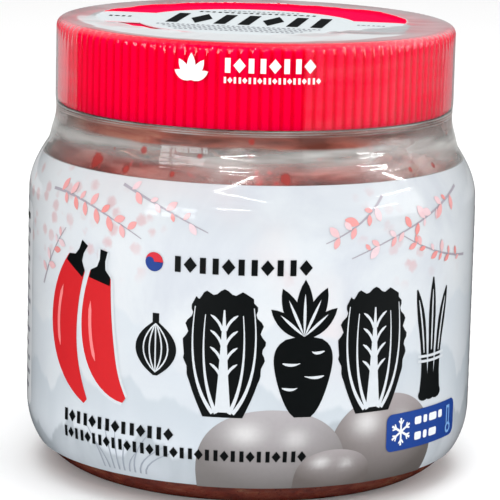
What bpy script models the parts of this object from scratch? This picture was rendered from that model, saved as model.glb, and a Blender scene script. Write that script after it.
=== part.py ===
"""A squat clear plastic jar of kimchi with a ribbed red screw lid.

The jar stands on a flat ring, its origin at the centre of that ring, +Z up. The front of its
label faces -Y. Everything that is turned about the axis is worked out from one wall outline, so
the label, the clear film and the kimchi follow the jar when its driving sizes change.
"""

import math
import random

import bmesh
import bpy
from mathutils import Matrix, Vector

MM = 0.001

# Driving sizes, in millimetres
JAR_RADIUS = 49.3
NECK_RADIUS = 41.2
STANDING_RADIUS = 35.7
CORNER_HEIGHT = 15.0
SHOULDER_START = 62.0
SHOULDER_END = 79.0
SHOULDER_SWELL = 1.2
RIM_HEIGHT = 97.6
WALL = 1.0
GAP = 0.3

# Base of the jar, which rises inside its standing ring
RING_WIDTH = 3.2
PUSH_UP = 2.6
PUSH_UP_EDGE = 1.4
PUSH_UP_RADIUS = 27.0

# Bead that sticks out of the neck just under the lid
BEAD_RADIUS = 42.5
BEAD_LOW = 79.8
BEAD_HIGH = 81.4
BEAD_ROUNDING = 0.3

# Ribbed lid
LID_BOTTOM = 82.0
LID_TOP = 99.4
LID_RADIUS = 43.9
LID_TOP_RADIUS = 42.1
LID_SHOULDER_DROP = 1.6
LID_EDGE_DROP = 0.4
LID_EDGE_INSET = 0.7
LID_INNER_RADIUS = 41.8
LID_PLATE = 1.4
RIB_COUNT = 120
RIB_DEPTH = 0.5
RIB_DEPTH_AT_EDGE = 0.2
RIB_TIP_SHARE = 0.62

# Printed label, and the clear film that goes on from it over the lid
SKIN = 0.4
LABEL_BOTTOM = 5.8
LABEL_TOP = 70.9
FILM_RADIUS = 44.5
FILM_FOOT_RISE = 2.4
FILM_STRETCH_RADIUS = 45.1
FILM_STRETCH = 75.2
FILM_WAIST_RADIUS = 44.2
FILM_WAIST = 79.4
FILM_STRAIGHT = 82.6
FILM_TOP = 100.4
FILM_CORNER = 1.7
FILM_CORNER_STEPS = 3
FILM_OPENING_RADIUS = 32.6

# Paper label on the lid, a disc with a tab on either side
STICKER_THICKNESS = 0.2
STICKER_GAP = 0.2
STICKER_RADIUS = 24.5
STICKER_SIDEWAYS = -1.9
STICKER_TAB_REACH = 35.8
STICKER_TAB_WIDTH = 19.0
STICKER_FILLET = 4.0
STICKER_FILLET_STEPS = 4
STICKER_ARC_STEPS = 12
STICKER_TURN_DEG = -9.0

# Kimchi: a bare core, and cut cabbage fused on where the heap shows through the jar
KIMCHI_LEVEL = 69.5
KIMCHI_SEED = 11
CORE_INSET = 1.6
CORE_TOP = ((0.0, 1.0), (30.0, 0.0), (43.0, -1.2))
CORE_BASE = ((37.0, 0.2), (25.0, 1.0), (0.0, 1.6))
CORE_SIDE_LOW = 5.6
CORE_SIDE_HIGH = 67.5
PIECE_LENGTH = (17.0, 24.0)
PIECE_WIDTH = (11.0, 15.0)
PIECE_THICKNESS = (2.6, 3.6)
PIECE_COLUMNS = 4
PIECE_ROWS = 3
TOP_RINGS = ((5.0, 2), (19.0, 6), (34.0, 10))
TOP_TIP_DEG = 14.0
WALL_PIECES = 9
WALL_PIECE_REACH = 40.7
WALL_PIECE_HEIGHT = 6.9
WALL_PIECE_LEAN_DEG = -38.0

SEGMENTS = 48
CORNER_STEPS = 6
SHOULDER_STEPS = 7


def fresh_collection(name):
    """A new collection in the scene."""
    collection = bpy.data.collections.new(name)
    bpy.context.scene.collection.children.link(collection)
    return collection


def material(name, colour, roughness, metallic=0.0, transmission=0.0):
    """A Principled material of one colour."""
    made = bpy.data.materials.new(name)
    made.use_nodes = True
    shader = made.node_tree.nodes["Principled BSDF"]
    shader.inputs["Base Color"].default_value = (*colour, 1.0)
    shader.inputs["Roughness"].default_value = roughness
    shader.inputs["Metallic"].default_value = metallic
    shader.inputs["Transmission Weight"].default_value = transmission
    made.diffuse_color = (*colour, 1.0 - 0.7 * transmission)
    return made


def place(name, mesh, collection, finish):
    """An object for the mesh, in the collection, with its material."""
    made = bpy.data.objects.new(name, mesh)
    collection.objects.link(made)
    mesh.materials.clear()
    mesh.materials.append(finish)
    return made


def smooth(obj, angle_deg=35.0):
    """Shades the object smooth where its faces meet at less than the angle."""
    obj.data.shade_smooth()
    obj.data.set_sharp_from_angle(angle=math.radians(angle_deg))


def turned(name, profile, collection, finish, closed=True):
    """A solid turned about Z. profile is (radius, height) points in mm, down the outer side first."""
    mesh = bpy.data.meshes.new(name)
    points = [(r * MM, 0.0, z * MM) for r, z in profile]
    edges = [(i, i + 1) for i in range(len(points) - 1)]
    if closed:
        edges.append((len(points) - 1, 0))
    mesh.from_pydata(points, edges, [])
    made = place(name, mesh, collection, finish)
    screw = made.modifiers.new("Turn", "SCREW")
    screw.axis = "Z"
    screw.steps = SEGMENTS
    screw.render_steps = SEGMENTS
    screw.use_merge_vertices = True
    screw.merge_threshold = 0.00001
    screw.use_smooth_shade = True
    return made


def wall_outline(offset=0.0):
    """The jar's outer wall from its standing ring up to the neck, moved out by offset mm.

    A quarter of an ellipse makes the corner, then comes the straight side, and the shoulder is
    a power of a sine, which is full near the side and hollow near the neck.
    """
    points = []
    for i in range(CORNER_STEPS + 1):
        turn = math.pi / 2 * i / CORNER_STEPS
        r = STANDING_RADIUS + (JAR_RADIUS - STANDING_RADIUS) * math.sin(turn)
        points.append(Vector((r, CORNER_HEIGHT * (1 - math.cos(turn)))))
    for i in range(SHOULDER_STEPS + 1):
        share = 1 - i / SHOULDER_STEPS
        swell = math.sin(math.pi / 2 * share) ** SHOULDER_SWELL
        z = SHOULDER_END - (SHOULDER_END - SHOULDER_START) * share
        points.append(Vector((NECK_RADIUS + (JAR_RADIUS - NECK_RADIUS) * swell, z)))
    moved = []
    for i, point in enumerate(points):
        before = points[max(i - 1, 0)]
        after = points[min(i + 1, len(points) - 1)]
        along = (after - before).normalized()
        if i == 0:
            along = Vector((1.0, 0.0))
        outward = Vector((along.y, -along.x))
        moved.append(point + outward * offset)
    return [(p.x, p.y) for p in moved]


def between(outline, low, high):
    """The stretch of an outline from height low to height high, with its ends cut exactly."""
    kept = []
    for (r0, z0), (r1, z1) in zip(outline, outline[1:]):
        for limit in (low, high):
            if z0 < limit < z1:
                kept.append((r0 + (r1 - r0) * (limit - z0) / (z1 - z0), limit))
        if low < z1 < high:
            kept.append((r1, z1))
    return sorted(kept, key=lambda point: point[1])


def jar_profile():
    """The clear jar: outer side from the rim down, the base, and the inner side back up."""
    outer = wall_outline()
    inner = wall_outline(-WALL)
    profile = [(NECK_RADIUS, RIM_HEIGHT), (NECK_RADIUS, BEAD_HIGH)]
    profile += [(BEAD_RADIUS, BEAD_HIGH - BEAD_ROUNDING), (BEAD_RADIUS, BEAD_LOW + BEAD_ROUNDING)]
    profile += [(NECK_RADIUS, BEAD_LOW)]
    profile += list(reversed(outer))
    profile += [(STANDING_RADIUS - RING_WIDTH, 0.0), (PUSH_UP_RADIUS, PUSH_UP_EDGE)]
    profile += [(0.0, PUSH_UP), (0.0, PUSH_UP + WALL)]
    profile += [(PUSH_UP_RADIUS, PUSH_UP_EDGE + WALL)]
    profile += inner
    profile += [(NECK_RADIUS - WALL, RIM_HEIGHT)]
    return profile


def make_jar(collection):
    """The jar is open at its rim, which the lid covers."""
    clear = material("clear_plastic", (0.86, 0.87, 0.86), 0.08, transmission=0.9)
    profile = jar_profile()
    top = profile.index((0.0, PUSH_UP))
    ring = profile[top + 1 :] + profile[: top + 1]
    return turned("jar", ring, collection, clear, closed=False)


def make_label(collection):
    """The printed part of the sleeve, a thin skin from the base's corner to the shoulder."""
    white = material("printed_label", (0.80, 0.83, 0.87), 0.35)
    outer = between(wall_outline(GAP + SKIN), LABEL_BOTTOM, LABEL_TOP)
    inner = between(wall_outline(GAP), LABEL_BOTTOM, LABEL_TOP)
    return turned("label", list(reversed(outer)) + inner, collection, white)


def film_outline(inset):
    """The clear film from the label up: off the shoulder, up the lid and in over its top."""
    side = wall_outline(GAP + SKIN - inset)
    start = LABEL_TOP + GAP
    points = between(side, start, start + FILM_FOOT_RISE)
    points.append((FILM_STRETCH_RADIUS - inset, FILM_STRETCH))
    points.append((FILM_WAIST_RADIUS - inset, FILM_WAIST))
    radius = FILM_RADIUS - inset
    top = FILM_TOP - inset
    points.append((radius, FILM_STRAIGHT))
    for i in range(FILM_CORNER_STEPS + 1):
        turn = math.pi / 2 * i / FILM_CORNER_STEPS
        r = radius - FILM_CORNER * (1 - math.cos(turn))
        points.append((r, top - FILM_CORNER * (1 - math.sin(turn))))
    points.append((FILM_OPENING_RADIUS, top))
    return points


def make_film(collection):
    """Clear tamper film shrunk over the lid, open in the middle of the lid's top."""
    clear = material("clear_film", (0.84, 0.83, 0.82), 0.15, transmission=0.9)
    outer = film_outline(0.0)
    inner = film_outline(GAP)
    return turned("film", list(reversed(outer)) + inner, collection, clear)


def ribbed_ring(tip, groove):
    """Radii and angles round one ring of the lid: two points on each rib's tip, one in its groove."""
    ring = []
    pitch = 2 * math.pi / RIB_COUNT
    for rib in range(RIB_COUNT):
        start = rib * pitch
        ring.append((tip, start))
        ring.append((tip, start + pitch * RIB_TIP_SHARE))
        ring.append((groove, start + pitch * (1 + RIB_TIP_SHARE) / 2))
    return ring


def make_lid(collection, cutters):
    """A ribbed cup, lofted from its rings and hollowed from below."""
    red = material("lid_red", (0.84, 0.005, 0.04), 0.28)
    ridge = LID_TOP - LID_SHOULDER_DROP
    edge = LID_RADIUS - LID_EDGE_INSET
    levels = [
        (LID_BOTTOM, LID_RADIUS, LID_RADIUS - RIB_DEPTH),
        (ridge, LID_RADIUS, LID_RADIUS - RIB_DEPTH),
        (LID_TOP - LID_EDGE_DROP, edge, edge - RIB_DEPTH_AT_EDGE),
        (LID_TOP, LID_TOP_RADIUS, LID_TOP_RADIUS),
    ]
    mesh = bmesh.new()
    rings = []
    for z, tip, groove in levels:
        ring = [
            mesh.verts.new((r * math.cos(a) * MM, r * math.sin(a) * MM, z * MM))
            for r, a in ribbed_ring(tip, groove)
        ]
        rings.append(ring)
    for low, high in zip(rings, rings[1:]):
        for i in range(len(low)):
            j = (i + 1) % len(low)
            mesh.faces.new((low[i], low[j], high[j], high[i]))
    mesh.faces.new(list(reversed(rings[0])))
    mesh.faces.new(rings[-1])
    data = bpy.data.meshes.new("lid")
    mesh.to_mesh(data)
    mesh.free()
    lid = place("lid", data, collection, red)
    smooth(lid, 25.0)

    ceiling = LID_TOP - LID_PLATE
    start = LID_BOTTOM - LID_PLATE
    bpy.ops.mesh.primitive_cylinder_add(
        vertices=SEGMENTS,
        radius=LID_INNER_RADIUS * MM,
        depth=(ceiling - start) * MM,
        location=(0, 0, (start + ceiling) / 2 * MM),
    )
    hollow = into_collection(bpy.context.object, "lid_hollow", cutters)
    cut = lid.modifiers.new("Hollow", "BOOLEAN")
    cut.operation = "DIFFERENCE"
    cut.solver = "EXACT"
    cut.object = hollow
    return lid


def into_collection(obj, name, collection):
    """Renames a helper, moves it to the collection and keeps it out of the render."""
    obj.name = name
    for other in list(obj.users_collection):
        other.objects.unlink(obj)
    collection.objects.link(obj)
    obj.hide_render = True
    obj.display_type = "WIRE"
    return obj


def sticker_outline():
    """A disc with two tabs: the arcs of the disc and the tabs' round corners, counter-clockwise."""
    half = STICKER_TAB_WIDTH / 2
    meet = math.asin(half / STICKER_RADIUS)
    outline = []
    for side in (0, 1):
        turn = Matrix.Rotation(math.pi * side, 2)
        tab = []
        for sign, start in ((-1, -math.pi / 2), (1, 0.0)):
            centre = Vector((STICKER_TAB_REACH - STICKER_FILLET, sign * (half - STICKER_FILLET)))
            for i in range(STICKER_FILLET_STEPS + 1):
                angle = start + math.pi / 2 * i / STICKER_FILLET_STEPS
                tab.append(centre + STICKER_FILLET * Vector((math.cos(angle), math.sin(angle))))
        for i in range(STICKER_ARC_STEPS + 1):
            angle = meet + (math.pi - 2 * meet) * i / STICKER_ARC_STEPS
            tab.append(STICKER_RADIUS * Vector((math.cos(angle), math.sin(angle))))
        outline += [turn @ point for point in tab]
    return outline


def make_sticker(collection):
    """The paper label lies on the lid, a little to the left, with its tabs under the film."""
    white = material("lid_paper", (0.84, 0.86, 0.88), 0.5)
    curve = bpy.data.curves.new("lid_sticker", "CURVE")
    curve.dimensions = "2D"
    curve.fill_mode = "BOTH"
    curve.extrude = STICKER_THICKNESS / 2 * MM
    spline = curve.splines.new("POLY")
    outline = sticker_outline()
    spline.points.add(len(outline) - 1)
    for point, place_at in zip(spline.points, outline):
        point.co = (place_at.x * MM, place_at.y * MM, 0.0, 1.0)
    spline.use_cyclic_u = True
    sticker = bpy.data.objects.new("lid_sticker", curve)
    collection.objects.link(sticker)
    curve.materials.append(white)
    sticker.location.x = STICKER_SIDEWAYS * MM
    sticker.location.z = (LID_TOP + STICKER_GAP + STICKER_THICKNESS / 2) * MM
    sticker.rotation_euler.z = math.radians(STICKER_TURN_DEG)
    return sticker


def kimchi_core_profile():
    """The bare core of the heap, in from the jar's inner wall, with a low crown."""
    wall = wall_outline(-WALL - GAP - CORE_INSET)
    side = [(r, z) for r, z in wall[::2] if CORE_SIDE_LOW < z < CORE_SIDE_HIGH]
    floor = PUSH_UP + WALL + GAP
    profile = [(r, KIMCHI_LEVEL + rise) for r, rise in CORE_TOP]
    profile += list(reversed(side))
    profile += [(r, floor + rise) for r, rise in CORE_BASE]
    return profile


def cabbage_piece(name, length, width, thickness, draw):
    """A cut piece of cabbage: a wavy plate, thick at its rib, as a closed mesh."""
    columns, rows = PIECE_COLUMNS, PIECE_ROWS
    mesh = bmesh.new()
    phase = draw.uniform(0, 2 * math.pi)
    curl = draw.uniform(0.5, 1.6)
    sides = []
    for top in (1, -1):
        layer = []
        for i in range(columns):
            u = i / (columns - 1) - 0.5
            for j in range(rows):
                v = j / (rows - 1) - 0.5
                wave = math.sin(u * 5.0 + phase) * 0.9 + math.cos(v * 4.0 + phase) * 0.5
                rib = 1.0 - 1.1 * abs(v)
                x = u * length * (1 - 0.25 * v * v)
                y = v * width * (1 - 0.6 * u * u)
                z = curl * (wave - 2.4 * u * u) + top * thickness / 2 * rib
                layer.append(mesh.verts.new((x, y, z)))
        sides.append(layer)
    upper, lower = sides
    for i in range(columns - 1):
        for j in range(rows - 1):
            a, b = i * rows + j, (i + 1) * rows + j
            mesh.faces.new((upper[a], upper[b], upper[b + 1], upper[a + 1]))
            mesh.faces.new((lower[a], lower[a + 1], lower[b + 1], lower[b]))
    rim = [i * rows for i in range(columns)]
    rim += [(columns - 1) * rows + j for j in range(1, rows)]
    rim += [i * rows + rows - 1 for i in range(columns - 2, -1, -1)]
    rim += [j for j in range(rows - 2, 0, -1)]
    for a, b in zip(rim, rim[1:] + rim[:1]):
        mesh.faces.new((upper[b], upper[a], lower[a], lower[b]))
    bmesh.ops.recalc_face_normals(mesh, faces=mesh.faces)
    bmesh.ops.scale(mesh, vec=(MM, MM, MM), verts=mesh.verts)
    data = bpy.data.meshes.new(name)
    mesh.to_mesh(data)
    mesh.free()
    return data


def piece_places(draw):
    """Where the pieces that show go: on the heap's top, and against the wall under the label."""
    places = []
    for ring, (radius, count) in enumerate(TOP_RINGS):
        for i in range(count):
            angle = 2 * math.pi * (i + 0.5 * (ring % 2)) / count + draw.uniform(-0.2, 0.2)
            centre = Vector((radius * math.cos(angle), radius * math.sin(angle), KIMCHI_LEVEL))
            spin = Matrix.Rotation(draw.uniform(0, math.pi), 4, "Z")
            tip_deg = draw.uniform(-TOP_TIP_DEG, TOP_TIP_DEG)
            tip = Matrix.Rotation(math.radians(tip_deg), 4, "X")
            places.append(Matrix.Translation(centre * MM) @ spin @ tip)
    lean = Matrix.Rotation(math.radians(WALL_PIECE_LEAN_DEG), 4, "X")
    for i in range(WALL_PIECES):
        angle = 2 * math.pi * i / WALL_PIECES + draw.uniform(-0.1, 0.1)
        x, y = WALL_PIECE_REACH * math.cos(angle), WALL_PIECE_REACH * math.sin(angle)
        centre = Vector((x, y, WALL_PIECE_HEIGHT))
        around = Matrix.Rotation(angle + math.pi / 2, 4, "Z")
        places.append(Matrix.Translation(centre * MM) @ around @ lean)
    return places


def inside_jar(collection, finish):
    """A solid of the room inside the jar, less the gap, that trims what would cross the wall."""
    room = wall_outline(-WALL - GAP)
    profile = [(0.0, SHOULDER_END)]
    profile += list(reversed(room))
    profile += [(PUSH_UP_RADIUS, PUSH_UP_EDGE + WALL + GAP), (0.0, PUSH_UP + WALL + GAP)]
    return turned("jar_room", profile, collection, finish, closed=False)


def make_kimchi(collection, cutters):
    """One heap: the core with the cut cabbage that shows fused on, trimmed to the jar's room."""
    draw = random.Random(KIMCHI_SEED)
    red = material("kimchi_red", (0.42, 0.07, 0.03), 0.35)
    kimchi = turned("kimchi", kimchi_core_profile(), collection, red, closed=False)
    pieces = fresh_collection("kimchi_pieces")
    for number, matrix in enumerate(piece_places(draw)):
        name = f"piece_{number}"
        length = draw.uniform(*PIECE_LENGTH)
        width = draw.uniform(*PIECE_WIDTH)
        thickness = draw.uniform(*PIECE_THICKNESS)
        piece = place(name, cabbage_piece(name, length, width, thickness, draw), pieces, red)
        piece.matrix_world = matrix
    fuse = kimchi.modifiers.new("Fuse", "BOOLEAN")
    fuse.operation = "UNION"
    fuse.solver = "EXACT"
    fuse.operand_type = "COLLECTION"
    fuse.collection = pieces
    room = inside_jar(cutters, red)
    into_collection(room, "jar_room", cutters)
    trim = kimchi.modifiers.new("Trim", "BOOLEAN")
    trim.operation = "INTERSECT"
    trim.solver = "EXACT"
    trim.object = room
    apply_modifiers(kimchi)
    for piece in list(pieces.objects):
        bpy.data.objects.remove(piece)
    bpy.data.collections.remove(pieces)
    keep_largest_body(kimchi)
    smooth(kimchi, 40.0)
    return kimchi


def apply_modifiers(obj):
    """Makes the evaluated mesh the object's own."""
    bpy.context.view_layer.update()
    graph = bpy.context.evaluated_depsgraph_get()
    data = bpy.data.meshes.new_from_object(obj.evaluated_get(graph))
    obj.modifiers.clear()
    obj.data = data


def keep_largest_body(obj):
    """Drops loose scraps and fills sealed hollows that the Booleans leave."""
    mesh = bmesh.new()
    mesh.from_mesh(obj.data)
    bodies = []
    left = set(mesh.verts)
    while left:
        body = {left.pop()}
        edge = list(body)
        while edge:
            near = [e.other_vert(v) for v in edge for e in v.link_edges]
            edge = [v for v in set(near) if v not in body]
            body.update(edge)
        left -= body
        bodies.append(body)
    bodies.sort(key=len)
    scraps = [v for body in bodies[:-1] for v in body]
    bmesh.ops.delete(mesh, geom=scraps, context="VERTS")
    mesh.to_mesh(obj.data)
    mesh.free()


def main():
    for obj in list(bpy.data.objects):
        bpy.data.objects.remove(obj)
    parts = fresh_collection("kimchi_jar")
    cutters = fresh_collection("cutters")
    make_jar(parts)
    make_lid(parts, cutters)
    make_sticker(parts)
    make_film(parts)
    make_label(parts)
    make_kimchi(parts, cutters)


main()
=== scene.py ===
"""Looks of a kimchi jar: a clear jar with a ribbed red lid, under a printed label and a clear film.

Sizes are in millimetres until a mesh is made. Places on the label are an arc length s, in mm to the
right of its front (-Y), and a height z. Angles round the jar start at the front and rise to the
right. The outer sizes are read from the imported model.
"""

import math
import random

import bmesh
import bpy
import numpy as np
from mathutils import Matrix, Vector, noise


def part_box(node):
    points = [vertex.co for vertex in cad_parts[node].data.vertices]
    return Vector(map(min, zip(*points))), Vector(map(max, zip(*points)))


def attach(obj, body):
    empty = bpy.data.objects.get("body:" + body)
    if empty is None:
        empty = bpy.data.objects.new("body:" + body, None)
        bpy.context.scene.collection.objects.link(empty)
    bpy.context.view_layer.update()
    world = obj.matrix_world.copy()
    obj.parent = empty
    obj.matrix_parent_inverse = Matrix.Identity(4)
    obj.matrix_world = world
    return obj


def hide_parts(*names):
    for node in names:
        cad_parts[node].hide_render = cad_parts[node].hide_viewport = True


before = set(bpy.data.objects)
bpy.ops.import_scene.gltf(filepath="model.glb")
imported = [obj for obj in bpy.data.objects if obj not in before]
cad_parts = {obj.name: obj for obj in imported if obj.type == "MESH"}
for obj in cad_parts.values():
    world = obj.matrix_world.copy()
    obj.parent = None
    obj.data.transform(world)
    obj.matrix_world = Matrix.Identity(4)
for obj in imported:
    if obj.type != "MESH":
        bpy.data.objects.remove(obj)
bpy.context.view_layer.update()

MM = 0.001
QUARTER = math.pi / 2
WHITE = (1.0, 1.0, 1.0)


def node_box(node):
    """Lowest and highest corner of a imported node, in millimetres."""
    low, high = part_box(node)
    return low / MM, high / MM


_, JAR_HIGH = node_box("jar")
_, FILM_HIGH = node_box("film")
LID_LOW, LID_HIGH = node_box("lid")
LABEL_LOW, LABEL_HIGH = node_box("label")
STICKER_LOW, STICKER_HIGH = node_box("lid_sticker")

# The jar's wall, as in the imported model
BODY_RADIUS = JAR_HIGH.x
RIM_HEIGHT = JAR_HIGH.z
RIM_CHAMFER = 0.3
NECK_RADIUS = 41.2
STANDING_RADIUS = 35.7
CORNER_HEIGHT = 15.0
SHOULDER_START = 62.0
SHOULDER_END = 79.0
SHOULDER_SWELL = 1.2
WALL = 1.0
RING_WIDTH = 3.2
PUSH_UP = 2.6
PUSH_UP_EDGE = 1.4
PUSH_UP_RADIUS = 27.0
BEAD_RADIUS = 42.5
BEAD_LOW = 79.8
BEAD_HIGH = 81.4

# Label, and how far each layer of ink stands over the last
LABEL_RADIUS = LABEL_HIGH.x
LABEL_LIFT = LABEL_RADIUS - BODY_RADIUS
LABEL_THICKNESS = 0.4
INK_STEP = 0.03

# Lid
RIB_COUNT = 120
RIB_DEPTH = 0.28
LID_CORNER = 1.7
LID_INNER_RADIUS = 41.8
LID_PLATE = 1.4

# Film: its outline past the label, as (radius, height), and where it is doubled on the front
FILM_NECK = ((45.35, 74.9), (44.9, 76.2), (44.45, 77.8), (44.15, 79.4), (44.15, 80.8), (44.3, 82.4))
FILM_RADIUS = 44.35
FILM_CORNER = 1.7
FILM_TOP = FILM_HIGH.z - 0.15
SEAM = 13.5

# Radius of the film's cut edge on the lid, at azimuths from the front in degrees
CUT_EDGE = (
    (-180, 36.7), (-158, 36.3), (-137, 36.0), (-117, 36.5), (-101, 36.0), (-93, 35.4), (-79, 34.6),
    (-72, 32.4), (-67, 31.0), (-53, 29.4), (-35, 28.0), (-17, 27.0), (2, 26.3), (12, 25.0), (24, 23.7),
    (49, 24.1), (63, 26.0), (74, 28.7), (84, 32.2), (102, 34.4), (111, 35.6), (136, 36.4), (156, 36.2),
    (180, 36.7),
)

# Red spots on the film, as azimuth in degrees, height and width
FILM_SPOTS = (
    (-46.5, 73.0, 3.6), (-31.0, 76.5, 1.8), (-14.5, 76.3, 1.3), (-0.5, 79.7, 1.5), (8.5, 72.2, 2.6),
    (-35.5, 72.2, 2.0), (-21.5, 72.2, 1.5), (47.0, 72.6, 1.2), (57.5, 72.6, 1.3), (-41.0, 76.0, 0.5),
    (95.0, 74.0, 2.4), (130.0, 76.0, 1.5), (168.0, 73.4, 2.8), (-150.0, 77.0, 1.3), (-118.0, 73.0, 2.2),
)

# Paper label on the lid, a disc with two tabs
STICKER_RADIUS = 24.5
STICKER_REACH = 35.8
STICKER_TAB_WIDTH = 19.0
STICKER_FILLET = 4.0
STICKER_TURN = math.radians(-9.0)
STICKER_MIDDLE = (STICKER_LOW.x + STICKER_HIGH.x) / 2

# Kimchi: the heap's level, the top of its packed side and of the smears, and what pieces keep
# free in front of the wall
KIMCHI_LEVEL = 69.5
KIMCHI_SIDE = KIMCHI_LEVEL - 1.2
SMEAR_TOP = 76.6
WALL_GAP = 0.15


def srgb(red, green, blue):
    """A linear colour from 8-bit screen values."""
    return tuple(
        value / 12.92 if value <= 0.04045 else ((value + 0.055) / 1.055) ** 2.4
        for value in (red / 255, green / 255, blue / 255)
    )


INK_RED = srgb(206, 0, 16)
INK_BLACK = srgb(8, 14, 16)
INK_BLUE = srgb(0, 60, 146)
INK_WHITE = srgb(232, 236, 239)
INK_CUT = srgb(206, 212, 217)
INK_GREY = srgb(150, 152, 160)
STEM_TINTS = (srgb(238, 186, 158), srgb(228, 164, 134), srgb(242, 206, 180))
LEAF_TINTS = (srgb(206, 132, 92), srgb(176, 130, 76), srgb(222, 158, 120))
RADISH_TINT = srgb(236, 142, 116)
SCALLION_TINT = srgb(92, 124, 48)
CHILLI_TINT = (0.5, 0.05, 0.04)

# How many pieces of each kind lie on the heap, and how many drops stick to the wall
LEAF_COUNT = 74
STRIP_COUNT = 46
FLAKE_COUNT = 900
DROP_COUNT = 70


# Number and outline helpers


def smoothstep(low, high, value):
    share = min(max((value - low) / (high - low), 0.0), 1.0)
    return share * share * (3 - 2 * share)


def plateau(start, full, fall, end, value):
    """1 from full to fall, with a smooth rise from start and a smooth fall to end."""
    return smoothstep(start, full, value) * (1 - smoothstep(fall, end, value))


def bell(value, middle, width):
    return math.exp(-(((value - middle) / width) ** 2))


def blended(a, b, share):
    """The colour between a and b."""
    return tuple(x + (y - x) * share for x, y in zip(a, b))


def turns(steps, reach=2 * math.pi):
    """Angles, or other numbers, from 0 to reach in equal steps, both ends included."""
    return [reach * i / steps for i in range(steps + 1)]


def around(r, angle, z):
    """The point at a radius, an angle from the front and a height."""
    return (r * math.sin(angle), -r * math.cos(angle), z)


def from_front(angle):
    """An angle as degrees between -180 and 180."""
    return (math.degrees(angle) + 180) % 360 - 180


def ring_noise(angle, scale, rise=0.0):
    """Noise that meets itself round the jar."""
    return noise.noise(Vector((math.cos(angle), math.sin(angle), 0.0)) * scale + Vector((0, 0, rise)))


def arc(x, y, radius, start, reach, steps):
    """Points round (x, y) from the angle start on."""
    return [
        (x + radius * math.cos(start + turn), y + radius * math.sin(start + turn))
        for turn in turns(steps, reach)
    ]


def radius_at(outline, z):
    """Radius of a rising (radius, height) outline at height z."""
    return float(np.interp(z, [h for _, h in outline], [r for r, _ in outline]))


def between(outline, low, high):
    """The stretch of a rising outline from height low to height high, with exact ends."""
    inner = [(r, z) for r, z in outline if low < z < high]
    return [(radius_at(outline, low), low)] + inner + [(radius_at(outline, high), high)]


def wall_points():
    """The outer wall from the standing ring to the neck, as (radius, height)."""
    points = []
    for turn in turns(24, QUARTER):
        r = STANDING_RADIUS + (BODY_RADIUS - STANDING_RADIUS) * math.sin(turn)
        points.append((r, CORNER_HEIGHT * (1 - math.cos(turn))))
    for i in range(1, 16):
        points.append((BODY_RADIUS, CORNER_HEIGHT + (SHOULDER_START - CORNER_HEIGHT) * i / 16))
    for i in range(29):
        share = 1 - i / 28
        swell = math.sin(QUARTER * share) ** SHOULDER_SWELL
        z = SHOULDER_END - (SHOULDER_END - SHOULDER_START) * share
        points.append((NECK_RADIUS + (BODY_RADIUS - NECK_RADIUS) * swell, z))
    return np.array(points)


WALL_POINTS = wall_points()
WALL_SLOPE = np.gradient(WALL_POINTS, axis=0)
WALL_NORMAL = np.stack([WALL_SLOPE[:, 1], -WALL_SLOPE[:, 0]], axis=1)
WALL_NORMAL /= np.linalg.norm(WALL_NORMAL, axis=1)[:, None]
WALL_NORMAL[0] = (0.0, -1.0)


def wall_moved(offset):
    """The wall moved out by offset, as (radius, height) points from the bottom up."""
    return [tuple(p + n * offset) for p, n in zip(WALL_POINTS, WALL_NORMAL)]


def wall_at(z):
    """Radius of the wall at height z, and its normal's parts outwards and upwards."""
    columns = (WALL_POINTS[:, 0], WALL_NORMAL[:, 0], WALL_NORMAL[:, 1])
    return [float(np.interp(z, WALL_POINTS[:, 1], column)) for column in columns]


def inner_radius(z):
    """Radius of the wall's inner side at height z."""
    r, out, _ = wall_at(z)
    return r - WALL / max(out, 0.3)


def on_wall(s, z, offset):
    """The point on the wall at arc length s and height z, moved out by offset, in metres."""
    r, out, rise = wall_at(z)
    return Vector(around(r + out * offset, s / LABEL_RADIUS, z + rise * offset)) * MM


# Mesh helpers


def in_scene(name, data):
    made = bpy.data.objects.new(name, data)
    bpy.context.scene.collection.objects.link(made)
    return made


def make_object(name, vertices, faces, look, smooth=True):
    """An object of a mesh in millimetres, with its material."""
    mesh = bpy.data.meshes.new(name)
    mesh.from_pydata([Vector(v) * MM for v in vertices], [], faces)
    mesh.update()
    if smooth:
        mesh.shade_smooth()
    mesh.materials.append(look)
    return in_scene(name, mesh)


def set_shares(piece, name, shares):
    """A number at each point of a piece, which its material reads."""
    piece.data.attributes.new(name, "FLOAT", "POINT").data.foreach_set("value", shares)


def dress(piece, slot, *nodes):
    """Sets the piece on the body and hides the nodes it stands for. slot is not used."""
    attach(piece, "root")
    if nodes:
        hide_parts(*nodes)
    return piece


def grid_faces(rows, columns, wrap):
    """Quads between rows of columns points, closed round where wrap is set."""
    faces = []
    for start in range(0, (rows - 1) * columns, columns):
        for j in range(columns if wrap else columns - 1):
            low, high = start + j, start + (j + 1) % columns
            faces.append((low, high, high + columns, low + columns))
    return faces


def turned(name, profile, look, segments, closed=False, shape=None, crease=40.0):
    """A mesh turned about Z from (radius, height) points that run down the outer side.

    shape(r, z, angle) gives the moved (r, z) of a point, for what isn't quite round.
    """
    rows = list(profile) + ([profile[0]] if closed else [])
    vertices = []
    for r, z in rows:
        for angle in turns(segments)[:-1]:
            moved_r, moved_z = shape(r, z, angle) if shape else (r, z)
            vertices.append(around(moved_r, angle, moved_z))
    faces = [face[::-1] for face in grid_faces(len(rows), segments, True)]
    made = make_object(name, vertices, faces, look)
    clean(made)
    made.data.set_sharp_from_angle(angle=math.radians(crease))
    return made


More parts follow.
